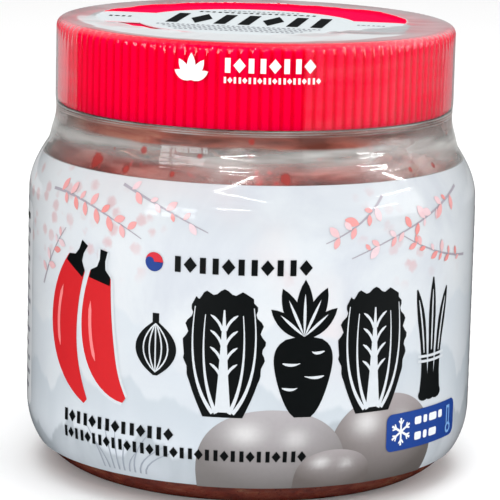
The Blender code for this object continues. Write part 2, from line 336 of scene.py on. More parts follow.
def clean(obj):
    """Joins points that meet, drops faces with no area and turns every face outwards."""
    mesh = bmesh.new()
    mesh.from_mesh(obj.data)
    bmesh.ops.remove_doubles(mesh, verts=mesh.verts, dist=0.002 * MM)
    bmesh.ops.dissolve_degenerate(mesh, dist=0.001 * MM, edges=mesh.edges)
    bmesh.ops.recalc_face_normals(mesh, faces=mesh.faces)
    mesh.to_mesh(obj.data)
    mesh.free()


# Node helpers


class Look:
    """A material whose nodes are added and joined in short calls."""

    def __init__(self, name):
        self.material = bpy.data.materials.new(name)
        self.material.use_nodes = True
        self.tree = self.material.node_tree
        self.tree.nodes.clear()
        self.place = self.add("ShaderNodeTexCoord", output="Object")

    def add(self, kind, sockets=None, output=0, **settings):
        """Adds a node and returns one of its outputs."""
        node = self.tree.nodes.new(kind)
        for key, value in settings.items():
            setattr(node, key, value)
        for key, value in (sockets or {}).items():
            if isinstance(value, bpy.types.NodeSocket):
                self.tree.links.new(value, node.inputs[key])
            elif isinstance(value, tuple) and node.inputs[key].type == "RGBA":
                node.inputs[key].default_value = (*value, 1.0)
            else:
                node.inputs[key].default_value = value
        return node.outputs[output]

    def noise(self, scale, detail, rough=0.5, place=None, warp=0.0):
        sockets = {"Scale": scale, "Detail": detail, "Roughness": rough, "Distortion": warp}
        return self.add("ShaderNodeTexNoise", {**sockets, "Vector": place or self.place}, "Fac")

    def patches(self, scale, detail, low, high, to_low=0.0, to_high=1.0):
        """Noise, spread from low and high to other limits."""
        return self.range(self.noise(scale, detail), low, high, to_low, to_high)

    def stretch(self, up, back=1.0):
        """The object's place, scaled along Z and Y."""
        return self.add("ShaderNodeMapping", {"Vector": self.place, "Scale": (1.0, back, up)})

    def height(self):
        return self.add("ShaderNodeSeparateXYZ", {0: self.place}, "Z")

    def attribute(self, name, output="Fac"):
        return self.add("ShaderNodeAttribute", None, output, attribute_name=name)

    def math(self, operation, a, b):
        return self.add("ShaderNodeMath", {0: a, 1: b}, operation=operation)

    def product(self, a, b):
        return self.math("MULTIPLY", a, b)

    def range(self, value, low, high, to_low=0.0, to_high=1.0):
        sockets = {0: value, 1: low, 2: high, 3: to_low, 4: to_high}
        return self.add("ShaderNodeMapRange", sockets, interpolation_type="SMOOTHSTEP")

    def ramp(self, value, *stops):
        colour = self.add("ShaderNodeValToRGB", {"Fac": value}, "Color")
        elements = colour.node.color_ramp.elements
        while len(elements) < len(stops):
            elements.new(0.5)
        for element, (where, tint) in zip(elements, stops):
            element.position = where
            element.color = (*tint, 1.0)
        return colour

    def mix(self, share, a, b, blend="MIX"):
        return self.add("ShaderNodeMix", {0: share, 6: a, 7: b}, 2, data_type="RGBA", blend_type=blend)

    def bump(self, height, distance, strength, normal=None):
        sockets = {"Height": height, "Distance": distance, "Strength": strength}
        if normal:
            sockets["Normal"] = normal
        return self.add("ShaderNodeBump", sockets)

    def principled(self, colour, **sockets):
        named = {key.replace("_", " "): value for key, value in sockets.items()}
        return self.add("ShaderNodeBsdfPrincipled", {**named, "Base Color": colour})

    def clear(self, tint):
        return self.add("ShaderNodeBsdfTransparent", {"Color": tint})

    def blend(self, share, a, b):
        return self.add("ShaderNodeMixShader", {0: share, 1: a, 2: b})

    def finish(self, surface):
        self.tree.links.new(surface, self.tree.nodes.new("ShaderNodeOutputMaterial").inputs["Surface"])
        return self.material

    def finish_clear(self, surface, tint=WHITE):
        """Finishes clear plastic, so that it doesn't keep the lamps from what is behind it."""
        shadow = self.add("ShaderNodeLightPath", output="Is Shadow Ray")
        return self.finish(self.blend(shadow, surface, self.clear(tint)))


# Materials


def clear_plastic():
    """Blow-moulded plastic: a soft wave in the wall, fine haze and a slight grey cast."""
    look = Look("clear_plastic")
    wave = look.noise(90.0, 2.0, place=look.stretch(0.35))
    normal = look.bump(wave, 0.0004, 0.35, look.bump(look.noise(1600.0, 2.0), 0.00002, 0.3))
    rough = look.patches(140.0, 4.0, 0.35, 0.7, 0.06, 0.2)
    glass = look.principled(
        srgb(240, 243, 242), Roughness=rough, IOR=1.57, Transmission_Weight=1.0, Normal=normal
    )
    return look.finish_clear(glass, (0.9, 0.9, 0.89))


def run_streaks(look, dark, middle, pale):
    """The colours of seasoning that has run round the neck, in level streaks."""
    streak = look.noise(60.0, 4.0, 0.55, look.stretch(5.0), 0.4)
    return look.ramp(streak, (0.34, dark), (0.50, middle), (0.68, pale))


def clear_film():
    """Thin shrink film: it mirrors at a slant, is milky where it has stretched, and is stained
    by seasoning at the neck."""
    look = Look("clear_film")
    pleats = look.noise(260.0, 3.0, place=look.stretch(0.12))
    normal = look.bump(look.noise(45.0, 2.0), 0.0012, 0.18, look.bump(pleats, 0.0001, 0.15))
    gloss = look.add("ShaderNodeBsdfGlossy", {"Color": (0.95,) * 3, "Roughness": 0.06, "Normal": normal})
    mirror = look.add("ShaderNodeFresnel", {"IOR": 1.7, "Normal": normal})
    thin = look.blend(mirror, look.clear((0.97,) * 3), gloss)
    amount = look.attribute("milk")
    cool = look.mix(look.range(amount, 0.4, 0.7), srgb(192, 194, 196), srgb(214, 217, 219))
    tone = look.mix(look.range(look.height(), 0.083, 0.086), srgb(205, 206, 203), cool)
    milk = look.principled(tone, Roughness=0.45, Normal=normal)
    uneven = look.range(look.noise(55.0, 2.0, 0.5, look.stretch(7.0)), 0.3, 0.7, 0.6, 1.3)
    facing = look.add("ShaderNodeLayerWeight", {"Blend": 0.5}, "Facing")
    edge = look.product(look.math("POWER", facing, 6.0), 0.55)
    surface = look.blend(look.math("ADD", look.product(amount, uneven), edge), thin, milk)
    brown = run_streaks(look, srgb(92, 44, 34), srgb(134, 70, 58), srgb(160, 112, 94))
    for name, colour in (("stain", brown), ("spot", srgb(150, 42, 36))):
        stained = look.principled(colour, Roughness=0.3, Normal=normal)
        surface = look.blend(look.attribute(name), surface, stained)
    return look.finish_clear(surface)


def lid_plastic():
    """Satin red plastic with a fine moulded grain, and painted shade that darkens its grooves."""
    look = Look("lid_red")
    colour = look.mix(look.noise(60.0, 3.0), srgb(250, 0, 66), srgb(255, 2, 74))
    # Painted shade: the grooves between the ribs are darker red.
    colour = look.mix(look.attribute("groove_shade"), colour, srgb(226, 0, 44))
    rough = look.patches(300.0, 3.0, 0.3, 0.7, 0.36, 0.5)
    grain = look.bump(look.noise(2600.0, 2.0), 0.00002, 0.25)
    return look.finish(look.principled(colour, Roughness=rough, Normal=grain, Specular_IOR_Level=0.005))


def coated(look, colour):
    """Ink on a slightly uneven film, under a clear gloss layer."""
    normal = look.bump(look.noise(120.0, 3.0, place=look.stretch(0.25)), 0.0002, 0.25)
    return look.finish(look.principled(
        colour, Roughness=0.45, Normal=normal, Coat_Weight=0.8, Coat_Roughness=0.06, Coat_IOR=1.5,
        Coat_Normal=normal,
    ))


def label_ground():
    """The label's pale painted ground: mist with warm patches, blossom specks and blue hills, darkened
    towards the top by painted shade.
    """
    look = Look("label_ground")
    height = look.height()
    mist = look.noise(38.0, 5.0, 0.6, warp=0.6)
    sky = look.ramp(
        mist, (0.30, srgb(212, 218, 227)), (0.5, srgb(225, 231, 236)), (0.72, srgb(234, 238, 241))
    )
    warm = look.patches(26.0, 3.0, 0.55, 0.75, 0.0, 0.55)
    colour = look.mix(warm, sky, srgb(230, 217, 219))
    petals = look.add("ShaderNodeTexVoronoi", {"Vector": look.place, "Scale": 260.0}, "Distance")
    ragged = look.math("ADD", petals, look.product(look.noise(900.0, 2.0), 0.3))
    petals = look.range(ragged, 0.36, 0.60, 1.0, 0.0)
    drift = look.patches(42.0, 3.0, 0.50, 0.64)
    high = look.range(height, 0.046, 0.054)
    share = look.product(look.product(petals, drift), look.product(high, 0.5))
    colour = look.mix(share, colour, srgb(224, 160, 162))
    # Painted shade: the ground is darker above its lowest part and darkest on the shoulder, where the lamps
    # from above light it most.
    up = look.product(height, 1 / 0.072)
    shade_by_height = look.ramp(up, (0.17, WHITE), (0.33, (0.83,) * 3), (0.80, (0.82,) * 3), (0.92, (0.74,) * 3))
    colour = look.mix(1.0, colour, shade_by_height, "MULTIPLY")
    ridges = (
        (0.030, 0.020, 22.0, srgb(198, 206, 213), 0.016),
        (0.020, 0.016, 34.0, srgb(184, 194, 202), 0.014),
        (0.009, 0.012, 55.0, srgb(162, 171, 178), 0.010),
    )
    for base, reach, scale, tint, depth in ridges:
        line = look.range(look.noise(scale, 4.0, 0.55, look.stretch(0.0)), 0.3, 0.7, base, base + reach)
        below = look.math("SUBTRACT", line, height)
        edge = look.range(below, -0.0004, 0.0012)
        colour = look.mix(look.product(edge, look.range(below, 0.0, depth, 0.75, 0.35)), colour, tint)
    speck = look.patches(2200.0, 2.0, 0.35, 0.75, 0.0, 0.06)
    return coated(look, look.mix(speck, colour, srgb(190, 196, 206)))


def printed_ink():
    """Flat ink in the colours that the shapes carry, a little uneven."""
    look = Look("printed_ink")
    patch = look.patches(900.0, 3.0, 0.35, 0.75, 0.0, 0.12)
    return coated(look, look.mix(patch, look.attribute("ink", "Color"), (0.75,) * 3, "MULTIPLY"))


def paper_ink():
    """Matt black and grey ink on paper."""
    look = Look("paper_ink")
    fibre = look.patches(1500.0, 4.0, 0.3, 0.7, 0.0, 0.2)
    colour = look.mix(fibre, look.attribute("ink", "Color"), (0.6,) * 3, "MULTIPLY")
    return look.finish(look.principled(colour, Roughness=0.7, Specular_IOR_Level=0.12))


def lid_paper():
    """Coated paper with a faint fibre."""
    look = Look("lid_paper")
    fibre = look.noise(1500.0, 4.0)
    colour = look.mix(fibre, srgb(207, 215, 218), srgb(219, 226, 229))
    return look.finish(look.principled(colour, Roughness=0.5, Normal=look.bump(fibre, 0.00002, 0.4)))


def kimchi_sauce():
    """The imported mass: dark red seasoning with paler cabbage pressed through it, darkest low down."""
    look = Look("kimchi_sauce")
    colour = look.ramp(
        look.noise(150.0, 5.0, 0.6, look.stretch(2.2), 1.2), (0.30, srgb(150, 48, 34)),
        (0.46, srgb(182, 66, 48)), (0.60, srgb(204, 96, 72)), (0.74, srgb(222, 150, 118)),
    )
    colour = look.mix(look.patches(1500.0, 2.0, 0.62, 0.70), colour, srgb(120, 22, 14))
    # Darker and greyer towards the bottom.
    darker_low_down = look.range(look.height(), 0.005, 0.016, 1.0, 0.0)
    return look.finish(look.principled(
        look.mix(darker_low_down, colour, (0.60, 0.66, 0.58), "MULTIPLY"), Roughness=0.28, Coat_Weight=0.5,
        Coat_Roughness=0.08, Subsurface_Weight=0.15, Subsurface_Scale=0.002,
        Normal=look.bump(look.noise(500.0, 4.0), 0.0004, 0.6),
    ))


def kimchi_flesh():
    """Cut cabbage, radish and scallion: their own tint, stained and speckled with seasoning."""
    look = Look("kimchi_flesh")
    stain = look.range(look.noise(170.0, 4.0, 0.6, warp=0.8), 0.36, 0.66, 0.3, 0.95)
    colour = look.mix(stain, look.attribute("tint", "Color"), srgb(196, 58, 44))
    colour = look.mix(look.patches(1300.0, 2.0, 0.60, 0.66), colour, srgb(128, 18, 12))
    veins = look.noise(420.0, 4.0, place=look.stretch(1.0, 2.6))
    return look.finish(look.principled(
        colour, Roughness=0.25, Normal=look.bump(veins, 0.0003, 0.6), Coat_Weight=0.6,
        Coat_Roughness=0.06, Subsurface_Weight=0.25, Subsurface_Scale=0.002,
    ))


def wall_sauce():
    """Seasoning smeared on the inside of the wall, thin at its edges, with brighter blots."""
    look = Look("wall_sauce")
    colour = run_streaks(look, srgb(104, 32, 26), srgb(150, 52, 44), srgb(200, 120, 112))
    colour = look.mix(look.range(look.noise(240.0, 3.0, 0.6), 0.60, 0.68), colour, srgb(206, 52, 52))
    wet = look.principled(colour, Roughness=0.4, Specular_IOR_Level=0.3)
    patchy = look.range(look.noise(110.0, 4.0, 0.6), 0.35, 0.6, 0.75, 1.0)
    share = look.product(look.attribute("smear"), patchy)
    return look.finish_clear(look.blend(share, look.clear(WHITE), wet))


def chilli():
    """Dried chilli flakes and drops of seasoning, wet."""
    look = Look("chilli")
    colour = look.mix(look.noise(700.0, 2.0), srgb(150, 20, 16), srgb(206, 44, 34))
    return look.finish(look.principled(colour, Roughness=0.2, Coat_Weight=0.5))


# Jar, lid and skins


def make_jar():
    """Clear jar: neck, bead, shoulder, side, corner, standing ring and raised base."""
    profile = [(NECK_RADIUS - RIM_CHAMFER, RIM_HEIGHT), (NECK_RADIUS, RIM_HEIGHT - RIM_CHAMFER)]
    profile.append((NECK_RADIUS, BEAD_HIGH))
    for turn in turns(8, math.pi):
        r = NECK_RADIUS + (BEAD_RADIUS - NECK_RADIUS) * math.sin(turn) ** 0.6
        profile.append((r, (BEAD_LOW + BEAD_HIGH) / 2 + (BEAD_HIGH - BEAD_LOW) / 2 * math.cos(turn)))
    profile += wall_moved(0.0)[::-1]
    ring_inner = STANDING_RADIUS - RING_WIDTH
    profile.append((ring_inner, 0.0))
    for i in range(1, 9):
        r = ring_inner - (ring_inner - PUSH_UP_RADIUS) * i / 8
        profile.append((r, PUSH_UP_EDGE * smoothstep(0.0, 1.0, i / 8)))
    base = [
        (PUSH_UP_RADIUS * (1 - i / 6), PUSH_UP_EDGE + (PUSH_UP - PUSH_UP_EDGE) * (i / 6))
        for i in range(1, 7)
    ]
    profile += base + [(r, z + WALL) for r, z in base[::-1]]
    profile.append((PUSH_UP_RADIUS, PUSH_UP_EDGE + WALL))
    profile += wall_moved(-WALL)
    profile += [(NECK_RADIUS - WALL, SHOULDER_END + 1.0), (NECK_RADIUS - WALL, RIM_HEIGHT - RIM_CHAMFER)]
    dress(turned("jar_clear", profile, clear_plastic(), 192, closed=True), "clear_plastic", "jar")


def groove_at(angle):
    """0 on a rib's flat tip and 1 in the groove between two ribs."""
    across = (angle * RIB_COUNT / (2 * math.pi)) % 1.0 - 0.5
    return 1 - smoothstep(0.11, 0.25, abs(across))


def make_lid():
    """The lid's ribs run up its side and over its round edge, and end where it meets the top."""
    low, high, radius = LID_LOW.z, LID_HIGH.z, LID_HIGH.x
    inner, under = LID_INNER_RADIUS, LID_HIGH.z - LID_PLATE
    profile = [(r, high) for r in (0.0, 12.0, 24.0, 34.0, 39.0, radius - LID_CORNER - 0.4)]
    profile += arc(radius - LID_CORNER, high - LID_CORNER, LID_CORNER, QUARTER, -QUARTER, 12)
    profile += [(radius, high - 6.0), (radius, high - 11.0), (radius, low + 0.4), (radius - 0.3, low)]
    profile += [(inner, low), (inner, under), (20.0, under), (0.0, under)]

    def ribs(r, z, angle):
        if r <= inner:
            return r, z
        tilt = math.asin(min(max((z - high + LID_CORNER) / LID_CORNER, 0.0), 1.0))
        depth = RIB_DEPTH * groove_at(angle) * (0.4 + 0.6 * smoothstep(low, low + 0.6, z))
        depth *= 1 - smoothstep(math.radians(55), math.radians(88), tilt)
        return r - depth * math.cos(tilt), z - depth * math.sin(tilt)

    lid = turned("lid_ribbed", profile, lid_plastic(), RIB_COUNT * 12, shape=ribs, crease=50.0)
    # How far each point lies in a groove, for the painted shade in the grooves.
    groove_shade = []
    for vertex in lid.data.vertices:
        x, y, z = vertex.co / MM
        on_side = smoothstep(inner + 0.2, radius - LID_CORNER, math.hypot(x, y))
        on_side *= 1 - smoothstep(high - 0.5, high, z)
        groove_shade.append(on_side * groove_at(math.atan2(x, -y)))
    set_shares(lid, "groove_shade", groove_shade)
    dress(lid, "lid_red", "lid")


def make_label():
    """The printed skin, from the base's corner to the shoulder."""
    outer, inner = (
        between(wall_moved(offset), LABEL_LOW.z, LABEL_HIGH.z)
        for offset in (LABEL_LIFT, LABEL_LIFT - LABEL_THICKNESS)
    )
    label = turned("label_skin", outer[::-1] + inner, label_ground(), 288, closed=True)
    dress(label, "printed_label", "label")


def cut_radius(angle):
    """Radius of the film's cut edge, with small nicks and waves."""
    r = float(np.interp(from_front(angle), [a for a, _ in CUT_EDGE], [r for _, r in CUT_EDGE]))
    return r + 0.35 * ring_noise(angle, 6.0) + 0.25 * ring_noise(angle, 17.0)


def fold_milk(degrees, r, fold, streak):
    """How milky the film is on the lid's top, where fold runs from the lid's edge to the cut edge."""
    near = smoothstep(-99.0, -84.0, degrees) * (1 - smoothstep(58.0, 66.0, degrees + 1.6 * (40.0 - r)))
    outer = 39.6 - 2.0 * smoothstep(0.0, 25.0, degrees) + 0.8 * streak
    near *= 1 - smoothstep(outer - 0.3, outer + 0.5, r)
    return 0.35 + 0.47 * near + 0.30 * smoothstep(0.97, 1.0, fold)


def film_milk(degrees, r, z, fold):
    """How milky the film is: where it has shrunk, and where it is doubled, which it is from the seam
    on to the right, and at the left."""
    streak = noise.noise(Vector((degrees * 0.05, z * 0.6, 2.0)))
    if fold > 0:
        return fold_milk(degrees, r, fold, streak)
    lapped = plateau(SEAM - 0.4, SEAM + 0.4, 95.0, 125.0, degrees)
    left_lap = plateau(-135.0, -120.0, -60.5, -59.5, degrees)

    # A pale band round the neck, thinner and thicker in places, and more milk away from the front
    band = 0.31 * (1 - 0.45 * bell(degrees, 44.0, 10.0)) * bell(z, 76.8, 2.1) * (1 + 0.5 * streak)
    neck = 0.04 + 0.12 * bell(degrees, 22.0, 10.0) * bell(z, 76.6, 3.0) + band
    neck += 0.09 * (1 - bell(degrees, 0.0, 72.0))
    milk = neck * (1 - smoothstep(81.7, 82.3, z))

    # Three creases just under the lid, and two patches over the label's edge
    creases = bell(z, 81.75 + 0.1 * streak, 0.17) + 0.8 * bell(z, 81.2 + 0.1 * streak, 0.14)
    creases += 0.7 * bell(z, 80.7 + 0.2 * streak, 0.16)
    milk += (0.36 + 0.3 * streak) * creases
    milk += 0.26 * bell(degrees, -8.0, 15.0) * bell(z, 74.5, 3.0)
    milk += 0.20 * bell(degrees, 60.0, 20.0) * bell(z, 73.0, 2.4)

    # Haze on the lid's side where the film is doubled, strongest on the ribs' tips
    tips = (1 + math.cos(RIB_COUNT * math.radians(degrees))) / 2
    haze = lapped * (0.045 + 0.05 * smoothstep(20.0, 70.0, degrees)) * (0.4 + 0.6 * tips)
    haze += left_lap * 0.13 * (0.7 + 0.3 * tips)
    on_lid = smoothstep(82.3, 82.8, z)
    milk += 0.045 * lapped * (1 - on_lid) + haze * on_lid
    round_edge = smoothstep(FILM_HIGH.z - 1.6, FILM_HIGH.z - 0.5, z)
    return milk + 0.28 * round_edge * (1 - bell(degrees, -8.0, 58.0))


def wandering(degrees, z, scale, slow, fast):
    """Two noises round the wall, a slow one and a fine one."""
    angle = math.radians(degrees)
    return ring_noise(angle, 2.2, z * slow), ring_noise(angle, scale, z * fast + 5.0)


def film_stain(degrees, z):
    """How brown the film is: seasoning has run round the neck under the lid, in a band and two lines,
    least at the right."""
    wander, fine = wandering(degrees, z, 8.0, 0.3, 0.8)
    at = z + 0.5 * wander + 0.25 * fine
    band = plateau(77.9, 78.7, 80.5, 81.1, at)
    lines = 0.8 * bell(z, 81.45, 0.13) + 0.9 * bell(z, 80.95, 0.12)
    bare = min(bell(degrees, -68.0, 17.0) + plateau(30.0, 44.0, 150.0, 170.0, degrees), 1.0)
    strong = 0.74 + 0.5 * wander + 0.22 * bell(degrees, -30.0, 20.0)
    return strong * min(band * (1 - 0.8 * bare) + lines * (1 - 0.4 * bare), 1.0)


def film_spot(degrees, z):
    """How red the film is at a spot, with uneven soft edges."""
    share = 0.0
    for middle, height, width in FILM_SPOTS:
        across = math.radians(degrees - middle) * 45.0
        if abs(across) < width and abs(z - height) < width:
            rough = noise.noise(Vector((degrees * 0.9, z * 1.3, width)))
            reach = math.hypot(across, z - height) / (width / 2) + 0.2 * rough
            share = max(share, 0.8 * (1 - smoothstep(0.6, 1.12, reach)))
    return share


def film_path():
    """The film's outline from the label's edge up to the lid's top, smoothed past the label."""
    low = LABEL_HIGH.z
    side = between(wall_moved(LABEL_LIFT), low, low + 2.7) + [*FILM_NECK, (FILM_RADIUS, 84.4)]
    path = []
    creased, step, fine_step = 80.2, 0.25, 0.13
    for z in [low, *np.arange(low + step, creased, step), *np.arange(creased, 82.4, fine_step)]:
        span = 1.2 * smoothstep(1.2, 2.8, z - low)
        near = [radius_at(side, at) for at in np.linspace(z - span, z + span, 7)]
        path.append((float(np.mean(near)), float(z)))
    path += [(FILM_RADIUS, z) for z in (83.0, 84.0, 87.0, 90.0, 93.0, 96.0, 98.0)]
    return path + arc(FILM_RADIUS - FILM_CORNER, FILM_TOP - FILM_CORNER, FILM_CORNER, 0.0, QUARTER, 6)


def film_side(r, z, angle, over_ribs):
    """Radius of the film on the jar and the lid's side: loose at the neck, dipping between ribs."""
    loose = plateau(74.0, 77.0, 81.0, 86.0, z)
    pleat = ring_noise(angle, 34.0, z * 0.05)
    swell = ring_noise(angle, 5.0, z * 0.06 + 9.0)
    r += loose * (0.04 * pleat + 0.14 * swell) + (1 - loose) * 0.03 * swell
    r -= 0.30 * over_ribs * (1 - math.cos(RIB_COUNT * angle)) / 2
    return r + 0.05 * bell(z, 81.2, 0.8) * math.sin(11.0 * z + 2.5 * swell)


def make_film():
    """Clear film from the label up over the shoulder and the lid, folded in on the lid's top."""
    path = film_path()
    edge = path[-1][0]
    fold_steps = 12
    folds = [0] * len(path) + [(i + 1) / fold_steps for i in range(fold_steps)]
    path += [(edge - i - 1, FILM_TOP) for i in range(fold_steps)]
    segments = RIB_COUNT * 8
    vertices, milk, stain, spot = [], [], [], []
    for (r, z), fold in zip(path, folds):
        over_ribs = bell(z, FILM_TOP - 1.2, 1.6)
        for angle in turns(segments)[:-1]:
            if fold:
                at_r, at_z = edge + (cut_radius(angle) - edge) * fold, z
                wave = ring_noise(angle, 9.0, at_r * 0.12)
                at_z += 0.22 * wave * fold - 0.25 * fold + 0.1 * fold ** 6
            else:
                at_r, at_z = film_side(r, z, angle, over_ribs), z
            degrees = from_front(angle)
            vertices.append(around(at_r, angle, at_z))
            milk.append(film_milk(degrees, at_r, at_z, fold))
            stain.append(film_stain(degrees, at_z) if 77.0 < at_z < 83.0 else 0.0)
            spot.append(film_spot(degrees, at_z) if at_z < 81.0 else 0.0)
    film = make_object("film_clear", vertices, grid_faces(len(path), segments, True), clear_film())
    for name, shares in (("milk", milk), ("stain", stain), ("spot", spot)):
        set_shares(film, name, shares)
    dress(film, "clear_film", "film")


def on_sticker(x, y):
    """A point of the paper label, turned and moved as it lies on the lid."""
    cos, sin = math.cos(STICKER_TURN), math.sin(STICKER_TURN)
    return STICKER_MIDDLE + x * cos - y * sin, x * sin + y * cos


def make_sticker():
    """Paper label on the lid: a disc with two tabs, counter-clockwise."""
    half, fillet = STICKER_TAB_WIDTH / 2, STICKER_FILLET
    meet = math.asin(half / STICKER_RADIUS)
    side = arc(STICKER_REACH - fillet, fillet - half, fillet, -QUARTER, QUARTER, 6)
    side += arc(STICKER_REACH - fillet, half - fillet, fillet, 0.0, QUARTER, 6)
    side += arc(0.0, 0.0, STICKER_RADIUS, meet, math.pi - 2 * meet, 48)
    outline = [on_sticker(x * flip, y * flip) for flip in (1, -1) for x, y in side]
    vertices = [(x, y, z) for z in (STICKER_HIGH.z, STICKER_LOW.z) for x, y in outline]
    count = len(outline)
    faces = [tuple(range(count)), tuple(range(2 * count - 1, count - 1, -1))]
    faces += [(i, count + i, count + (i + 1) % count, (i + 1) % count) for i in range(count)]
    sticker = make_object("sticker_paper", vertices, faces, lid_paper(), smooth=False)
    dress(sticker, "lid_paper", "lid_sticker")


# Print: flat shapes in (s, z), wrapped round the label


class Print:
    """Coloured shapes that are cut into small faces and wrapped round the label."""

    def __init__(self, name, step):
        self.name = name
        self.step = step
        self.shapes = []

    def add(self, outline, colour, layer):
        """A closed outline of (s, z) points. colour is a tuple, or a function of s and z."""
        self.shapes.append((outline, colour, layer))

    def make(self, look, wrap=on_wall, base=LABEL_LIFT, slot="printed_label"):
        mesh = bmesh.new()
        number = mesh.faces.layers.int.new("shape")
        for index, (outline, _, layer) in enumerate(self.shapes):
            lift = base + (layer + 1) * INK_STEP
            mesh.faces.new([mesh.verts.new((s, z, lift)) for s, z in outline])[number] = index
        bmesh.ops.triangulate(mesh, faces=mesh.faces)
        for axis in (0, 1):
            values = [v.co[axis] for v in mesh.verts]
            cut = math.ceil(min(values) / self.step) * self.step
            while cut < max(values):
                spot, way = Vector(), Vector()
                spot[axis], way[axis] = cut, 1.0
                geometry = mesh.verts[:] + mesh.edges[:] + mesh.faces[:]
                bmesh.ops.bisect_plane(mesh, geom=geometry, dist=0.0001, plane_co=spot, plane_no=way)
                cut += self.step
        ink = mesh.loops.layers.float_color.new("ink")
        for face in mesh.faces:
            colour = self.shapes[face[number]][1]
            for loop in face.loops:
                tint = colour(loop.vert.co.x, loop.vert.co.y) if callable(colour) else colour
                loop[ink] = (*tint, 1.0)
            if face.normal.z < 0:
                face.normal_flip()
        for vertex in mesh.verts:
            vertex.co = wrap(*vertex.co)
        data = bpy.data.meshes.new(self.name)
        mesh.to_mesh(data)
        mesh.free()
        data.shade_smooth()
        data.materials.append(look)
        dress(in_scene(self.name, data), slot)


def strip(points, widths):
    """The outline of a band along points, with its width at each of them."""
    left, right = [], []
    for i, point in enumerate(points):
        along = Vector(points[min(i + 1, len(points) - 1)]) - Vector(points[max(i - 1, 0)])
        along.normalize()
        side = Vector((-along.y, along.x)) * max(widths[i], 0.06) / 2
        left.append(tuple(Vector(point) + side))
        right.append(tuple(Vector(point) - side))
    return left + right[::-1]


def curve(start, control, end, steps=10):
    """Points of a quadratic curve."""
    points = []
    for t in turns(steps, 1.0):
        parts = zip(start, control, end)
        points.append(tuple((1 - t) ** 2 * a + 2 * t * (1 - t) * b + t * t * c for a, b, c in parts))
    return points


def oval(s, z, width, height, steps):
    return [
        (s + width / 2 * math.cos(turn), z + height / 2 * math.sin(turn)) for turn in turns(steps)[:-1]
    ]


def lozenge(s, z, across, half):
    return [(s, z - half), (s + across, z), (s, z + half), (s - across, z)]


def leaf_shape(s, z, length, width, tilt, steps=7):
    """A pointed oval from (s, z), tilt in degrees from upright."""
    cos, sin = math.cos(math.radians(tilt)), math.sin(math.radians(tilt))
    points = []
    for side in (1, -1):
        for i in range(steps):
            t = i / steps if side == 1 else 1 - i / steps
            across = side * width / 2 * math.sin(math.pi * t) ** 0.8
            points.append((s + across * cos + length * t * sin, z - across * sin + length * t * cos))
    return points


def rounded_box(s, z, width, height, radius, steps=6):
    points = []
    for i, (x, y) in enumerate(((1, -1), (1, 1), (-1, 1), (-1, -1))):
        middle = (s + x * (width / 2 - radius), z + y * (height / 2 - radius))
        points += arc(*middle, radius, QUARTER * (i - 1), QUARTER, steps)
    return points


class Figure:
    """A drawing in shares of its width and height, from the middle of its foot at (s, z)."""

    def __init__(self, add, s, z, width, height):
        self.add, self.s, self.z, self.width, self.height = add, s, z, width, height

    def at(self, x, y):
        return self.s + x * self.width, self.z + y * self.height

    def fill(self, outline):
        self.add([self.at(*point) for point in outline], INK_BLACK, 1)

    def fill_both(self, half):
        """Fills the outline whose right side is half(t), t from 0 to 1, mirrored on its left."""
        right = [half(t) for t in turns(20, 1.0)]
        self.fill(right + [(-x, y) for x, y in right[::-1]])

    def stroke(self, line, widths, colour=INK_CUT, layer=2):
        line = [self.at(*point) for point in line]
        self.add(strip(line, [width * self.width for width in widths]), colour, layer)


def cabbage(*where):
    """A whole cabbage in black with its ribs and veins cut out."""
    figure = Figure(*where)

    def half(t):
        return 0.25 + 0.25 * math.sin(0.85 * math.pi * t)

    right = []
    for t in turns(30, 1.0):
        right.append((half(t) + 0.030 * math.sin(13 * math.pi * t) * smoothstep(0.2, 0.7, t), 0.90 * t))
    crown = []
    for t in turns(24, 1.0)[1:-1]:
        rise = 0.08 * math.sin(math.pi * t) + 0.022 * math.sin(9 * math.pi * t)
        crown.append((half(1) * math.cos(math.pi * t), 0.90 + rise))
    figure.fill(right + crown + [(-x, y) for x, y in right[::-1]])
    figure.stroke([(0, 0.04), (0, 0.3), (0, 0.6), (0, 0.84)], [0.20, 0.13, 0.07, 0.02])
    for way in (-1, 1):
        for reach, top in ((0.50, 0.80), (0.78, 0.86)):
            bend, end = (way * 0.62 * reach, 0.30), (way * 0.47 * reach, top)
            rib = curve((way * 0.16 * reach, 0.03), bend, end, 14)
            figure.stroke(rib, [0.05 - 0.0028 * i for i in range(15)])
        for t in (0.30, 0.43, 0.56, 0.68):
            vein = curve((way * 0.02, t), (way * 0.06, t + 0.08), (way * 0.17, t + 0.12), 5)
            figure.stroke(vein, [0.034] * 5 + [0.01], layer=3)


def radish(add, s, z, width, height):
    """A radish: a fat root with a tail and five leaves."""
    figure = Figure(add, s, z, width, height)
    root = 0.62
    figure.fill_both(lambda t: (
        max(0.62 * (0.03 + t) ** 0.42 * (1 - t ** 6) ** 0.5, 0.12 / width), root * t
    ))
    crown = z + height * root * 0.95
    outer, middle = (0.34, 0.26), (0.42, 0.30)
    for tilt, (length, wide) in ((-48, outer), (-24, middle), (0, (0.45, 0.30)), (24, middle), (48, outer)):
        add(leaf_shape(s, crown, height * length, width * wide, tilt, 9), INK_BLACK, 1)
        add(leaf_shape(s, crown + 0.6, height * length * 0.72, width * 0.05, tilt), INK_CUT, 2)
    for i, (share, reach) in enumerate(((0.36, 0.26), (0.50, 0.34), (0.66, 0.30), (0.80, 0.22))):
        side = 1 if i % 2 else -1
        start, bend, end = (figure.at(side * x, root * share) for x in (0.36, 0.2, 0.36 - reach))
        wrinkle = curve(start, (bend[0], bend[1] - 0.7), end, 6)
        add(strip(wrinkle, [0.2, 0.5, 0.62, 0.62, 0.5, 0.3, 0.1]), INK_CUT, 2)


